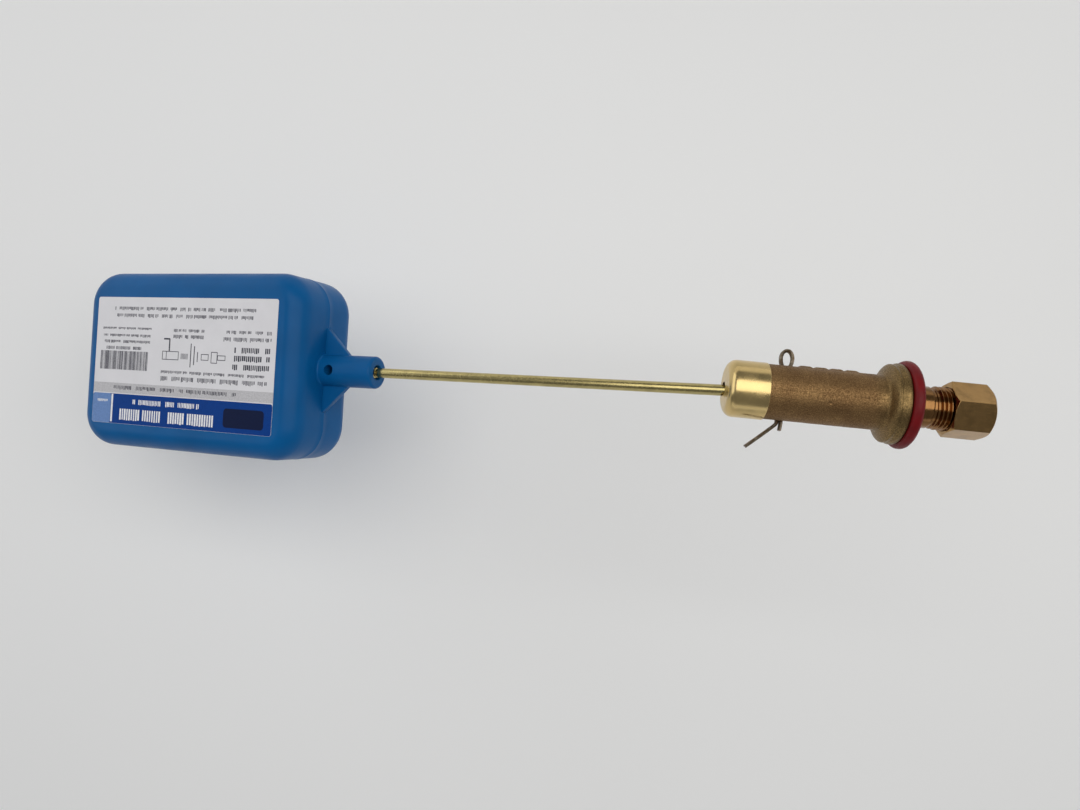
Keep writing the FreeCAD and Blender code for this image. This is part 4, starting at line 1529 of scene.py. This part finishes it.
class FLOATVALVE_OT_label(bpy.types.Operator):
    """Printed label: white sheet, blue band with a paler patch of painted sheen at its end, and plain marks
    that stand for its printing
    """

    bl_idname = "float_valve.label"
    bl_label = "Label"

    def execute(self, context):
        _, sizes, _ = settings()
        page = LabelPage(sizes)
        length, width = sizes.label_length / MM, sizes.label_width / MM
        band = sizes.band_width / MM
        sheet = page.patch(0, 0, length, width, corner=0.8)
        sheet.data.transform(Matrix.Translation((0, 0, page.face - page.top)))
        stretch = (page.top - page.face) / page.print_height
        for vertex in sheet.data.vertices:
            vertex.co.z = page.face + (vertex.co.z - page.face) * stretch
        sheet.name = "label_sheet"
        sheet.data.transform(float_matrix())
        place_piece(sheet, "label_stock", "float_arm", "label_paper", "float_label")
        page.publish("label_band", [page.patch(0.05, 0.05, length - 0.1, band, corner=0.75)], "band_ink")
        page.publish("label_strip", [page.patch(0.05, band + 0.35, length - 0.1, 3.3)], "grey_ink")
        page.publish("label_band_marks", self.band_marks(page, band), "white_ink")
        page.publish("label_band_block", [
            page.patch(55.2, 1.6, 15.6, 6.0, layer=1, corner=1.2),
        ], "navy_ink")
        # Paler blue patch over the first 8 mm of the band: painted sheen standing for a reflection on the
        # film.
        page.publish("label_band_painted_sheen", [
            page.patch(0.05, 0.05, 8.0, band, layer=0.5, corner=0.75),
        ], "pale_blue_ink")
        page.publish("label_marks", self.text_marks(page) + self.code_marks(page), "dark_ink")
        page.publish("label_drawing", self.drawing(page), "dark_ink")
        return {"FINISHED"}

    def band_marks(self, page, band):
        """White marks on the blue band."""
        return [
            page.patch(8.2, 0.5, 0.75, band - 0.6, layer=1),
            page.row(17.5, 7.4, 28.0, 1.7, 44, 3, (0.45, 0.75), 0.85, 0.37),
            page.row(12.0, 3.1, 39.5, 3.8, 40, 4, (0.50, 0.80), 0.92, 0.34),
            page.row(2.0, 7.4, 4.6, 0.9, 9, 5),
        ]

    def text_marks(self, page):
        """Lines of greeked words: along, across, length, height and strokes."""
        lines = [
            (7.5, 38.2, 58.5, 1.25, 128), (8.5, 35.9, 57.0, 1.25, 124),
            (54.5, 31.3, 17.5, 1.20, 36), (53.5, 29.1, 18.5, 1.40, 38),
            (32.8, 31.4, 13.0, 1.00, 32), (33.2, 29.4, 12.4, 1.30, 26),
            (2.2, 31.6, 22.5, 0.80, 56), (3.0, 29.2, 21.0, 1.00, 50), (3.6, 27.2, 20.0, 1.00, 48),
            (28.8, 17.9, 42.2, 1.00, 96), (28.8, 15.7, 42.4, 1.60, 84),
            (8.8, 11.9, 51.0, 1.40, 84),
        ]
        heavy = [(58.0, 25.8, 13.8, 1.80, 20), (58.0, 23.2, 13.8, 1.90, 18), (57.5, 20.5, 14.2, 1.80, 20)]
        rows = [page.row(*line, 20 + index) for index, line in enumerate(lines)]
        return rows + [page.row(*line, 40 + index, (0.5, 0.8), 0.8) for index, line in enumerate(heavy)]

    def code_marks(self, page):
        """Upright bars at the far end of the sheet."""
        return [
            page.row(2.2, 21.0, 20.8, 6.2, 44, 51, (0.2, 0.85), 1.0, 0.0),
            page.row(4.0, 25.1, 16.0, 1.1, 30, 52, (0.4, 0.7), 0.9, 0.3),
        ]

    def drawing(self, page):
        """Line drawing of a plain pipe fitting, made of thin strokes."""
        line = 0.22

        def frame(along, across, length, width):
            return [
                page.patch(along, across, length, line),
                page.patch(along, across + width, length, line),
                page.patch(along, across, line, width + line),
                page.patch(along + length, across, line, width + line),
            ]

        strokes = frame(29.0, 21.9, 6.6, 2.6) + frame(29.0, 21.9, 1.6, 2.6)
        strokes += frame(49.0, 21.4, 2.3, 3.4) + frame(51.5, 22.4, 3.0, 1.4) + frame(45.0, 22.2, 2.8, 1.8)
        strokes += [page.patch(36.8 + 0.5 * step, 22.3, line, 1.8) for step in range(6)]
        strokes += [page.patch(40.6, 19.8, 0.35, 7.6), page.patch(42.0, 20.6, 0.35, 6.0)]
        strokes += [page.patch(43.4, 21.6, 0.3, 3.2), page.patch(31.6, 24.6, 0.5, 4.0)]
        strokes += [page.patch(29.4, 28.4, 2.6, 0.5)]
        return strokes


class FLOATVALVE_OT_inner(bpy.types.Operator):
    """Finishes of the inner pieces, which keep their exact shapes"""

    bl_idname = "float_valve.inner"
    bl_label = "Inner Pieces"

    def execute(self, context):
        finishes = {
            # The inner pieces share the shank's darkened brass, whose darkness is painted shade.
            "orifice_seat": "machined_brass",
            "plunger": "machined_brass",
            "compression_sleeve": "machined_brass",
            "lever_head": "machined_brass",
            "seat_washer": "black_rubber",
        }
        for node, finish in finishes.items():
            mesh = frame["nodes"][node].data
            mesh.materials.clear()
            mesh.materials.append(material(finish))
        return {"FINISHED"}


# ---------------------------------------------------------------- stage

def aimed(piece, place, aim, level):
    """Stands a light or camera at a place and turns it to a point, level along a direction."""
    forward = (Vector(aim) - Vector(place)).normalized()
    up = Vector(level).cross(forward).normalized()
    turn = Matrix((forward.cross(up), up, -forward)).transposed()
    piece.matrix_world = Matrix.Translation(place) @ turn.to_4x4()


def soft_panel(name, place, aim, along, size, brightness, colour):
    """Rectangular soft light of an even brightness, its long side along a direction."""
    data = bpy.data.lights.new(name, "AREA")
    data.shape = "RECTANGLE"
    data.size, data.size_y = size
    data.energy = brightness * math.pi * size[0] * size[1]
    data.color = colour
    aimed(linked(name, data), place, aim, along)


class FLOATVALVE_OT_stage(bpy.types.Operator):
    """Pale floor, soft lights and camera"""

    bl_idname = "float_valve.stage"
    bl_label = "Stage"

    def execute(self, context):
        scene = context.scene
        stage = scene.valve_stage
        half = stage.floor_size / 2
        level = CAD_BOX[0][2] - stage.floor_drop
        floor = mesh_object("floor", [(x * half, y * half, level) for x, y in QUARTERS], [(0, 1, 2, 3)])
        finish = Finish("floor", scene.valve_colours.floor, 0.9)
        finish.colour_from(finish.ramp(finish.noise(3, 2), [(0.3, 0.95), (0.7, 0.97)]))
        floor.data.materials.append(finish.material)

        world = bpy.data.worlds.new("studio")
        world.use_nodes = True
        backdrop = world.node_tree.nodes["Background"]
        backdrop.inputs["Color"].default_value = (0.95, 0.97, 1.0, 1)
        backdrop.inputs["Strength"].default_value = stage.room_light
        scene.world = world
        middle = (-0.11, 0, -0.02)
        warm, cool = (1.0, 0.985, 0.95), (0.96, 0.98, 1.0)
        below = (0.06, 0.08, 0)
        soft_panel("ceiling", (0.06, 0.08, 0.60), below, X_AXIS, (1.1, 0.50), stage.ceiling_light, warm)
        soft_panel("back_wall", (-0.10, 1.20, 0.20), middle, X_AXIS, (2.4, 0.6), 0.60, warm)
        soft_panel("front_wall", (-0.10, -1.30, 0.12), middle, X_AXIS, (2.4, 0.4), 0.55, cool)
        soft_panel("far_wall", (-1.30, 0.30, 0.42), middle, Y_AXIS, (1.6, 0.8), 1.20, cool)
        soft_panel("near_wall", (1.30, 0.10, 0.15), middle, Y_AXIS, (1.8, 0.5), 0.60, warm)

        data = bpy.data.cameras.new("camera")
        data.lens = stage.lens
        data.sensor_width = 36
        data.sensor_fit = "HORIZONTAL"
        data.clip_start = 0.01
        scene.camera = linked("camera", data)
        aimed(scene.camera, stage.camera_place, stage.camera_aim, stage.camera_right)
        scene.view_settings.view_transform = "Standard"
        return {"FINISHED"}


STEPS = (
    FLOATVALVE_OT_stage,
    FLOATVALVE_OT_casting,
    FLOATVALVE_OT_shank,
    FLOATVALVE_OT_cap,
    FLOATVALVE_OT_gasket,
    FLOATVALVE_OT_nut,
    FLOATVALVE_OT_pin,
    FLOATVALVE_OT_rod,
    FLOATVALVE_OT_float,
    FLOATVALVE_OT_label,
    FLOATVALVE_OT_inner,
)


class FLOATVALVE_PT_sidebar(bpy.types.Panel):
    """Lists the steps that build the valve"""

    bl_idname = "FLOATVALVE_PT_sidebar"
    bl_label = "Float Valve"
    bl_space_type = "VIEW_3D"
    bl_region_type = "UI"
    bl_category = "Float Valve"

    def draw(self, context):
        for step in STEPS:
            self.layout.operator(step.bl_idname)


GROUPS = (ValveSizes, FloatSizes, FloatValveColours, StageSettings)


def register():
    """Makes the settings, operators and panel known."""
    for kind in GROUPS + STEPS + (FLOATVALVE_PT_sidebar,):
        bpy.utils.register_class(kind)
    bpy.types.Scene.valve_sizes = bpy.props.PointerProperty(type=ValveSizes)
    bpy.types.Scene.float_sizes = bpy.props.PointerProperty(type=FloatSizes)
    bpy.types.Scene.valve_colours = bpy.props.PointerProperty(type=FloatValveColours)
    bpy.types.Scene.valve_stage = bpy.props.PointerProperty(type=StageSettings)


def unregister():
    """Takes them away again."""
    for name in ("valve_sizes", "float_sizes", "valve_colours", "valve_stage"):
        delattr(bpy.types.Scene, name)
    for kind in reversed(GROUPS + STEPS + (FLOATVALVE_PT_sidebar,)):
        bpy.utils.unregister_class(kind)


def main():
    """Builds everything."""
    register()
    for step in STEPS:
        group, name = step.bl_idname.split(".")
        getattr(getattr(bpy.ops, group), name)()


if __name__ == "__main__":
    main()
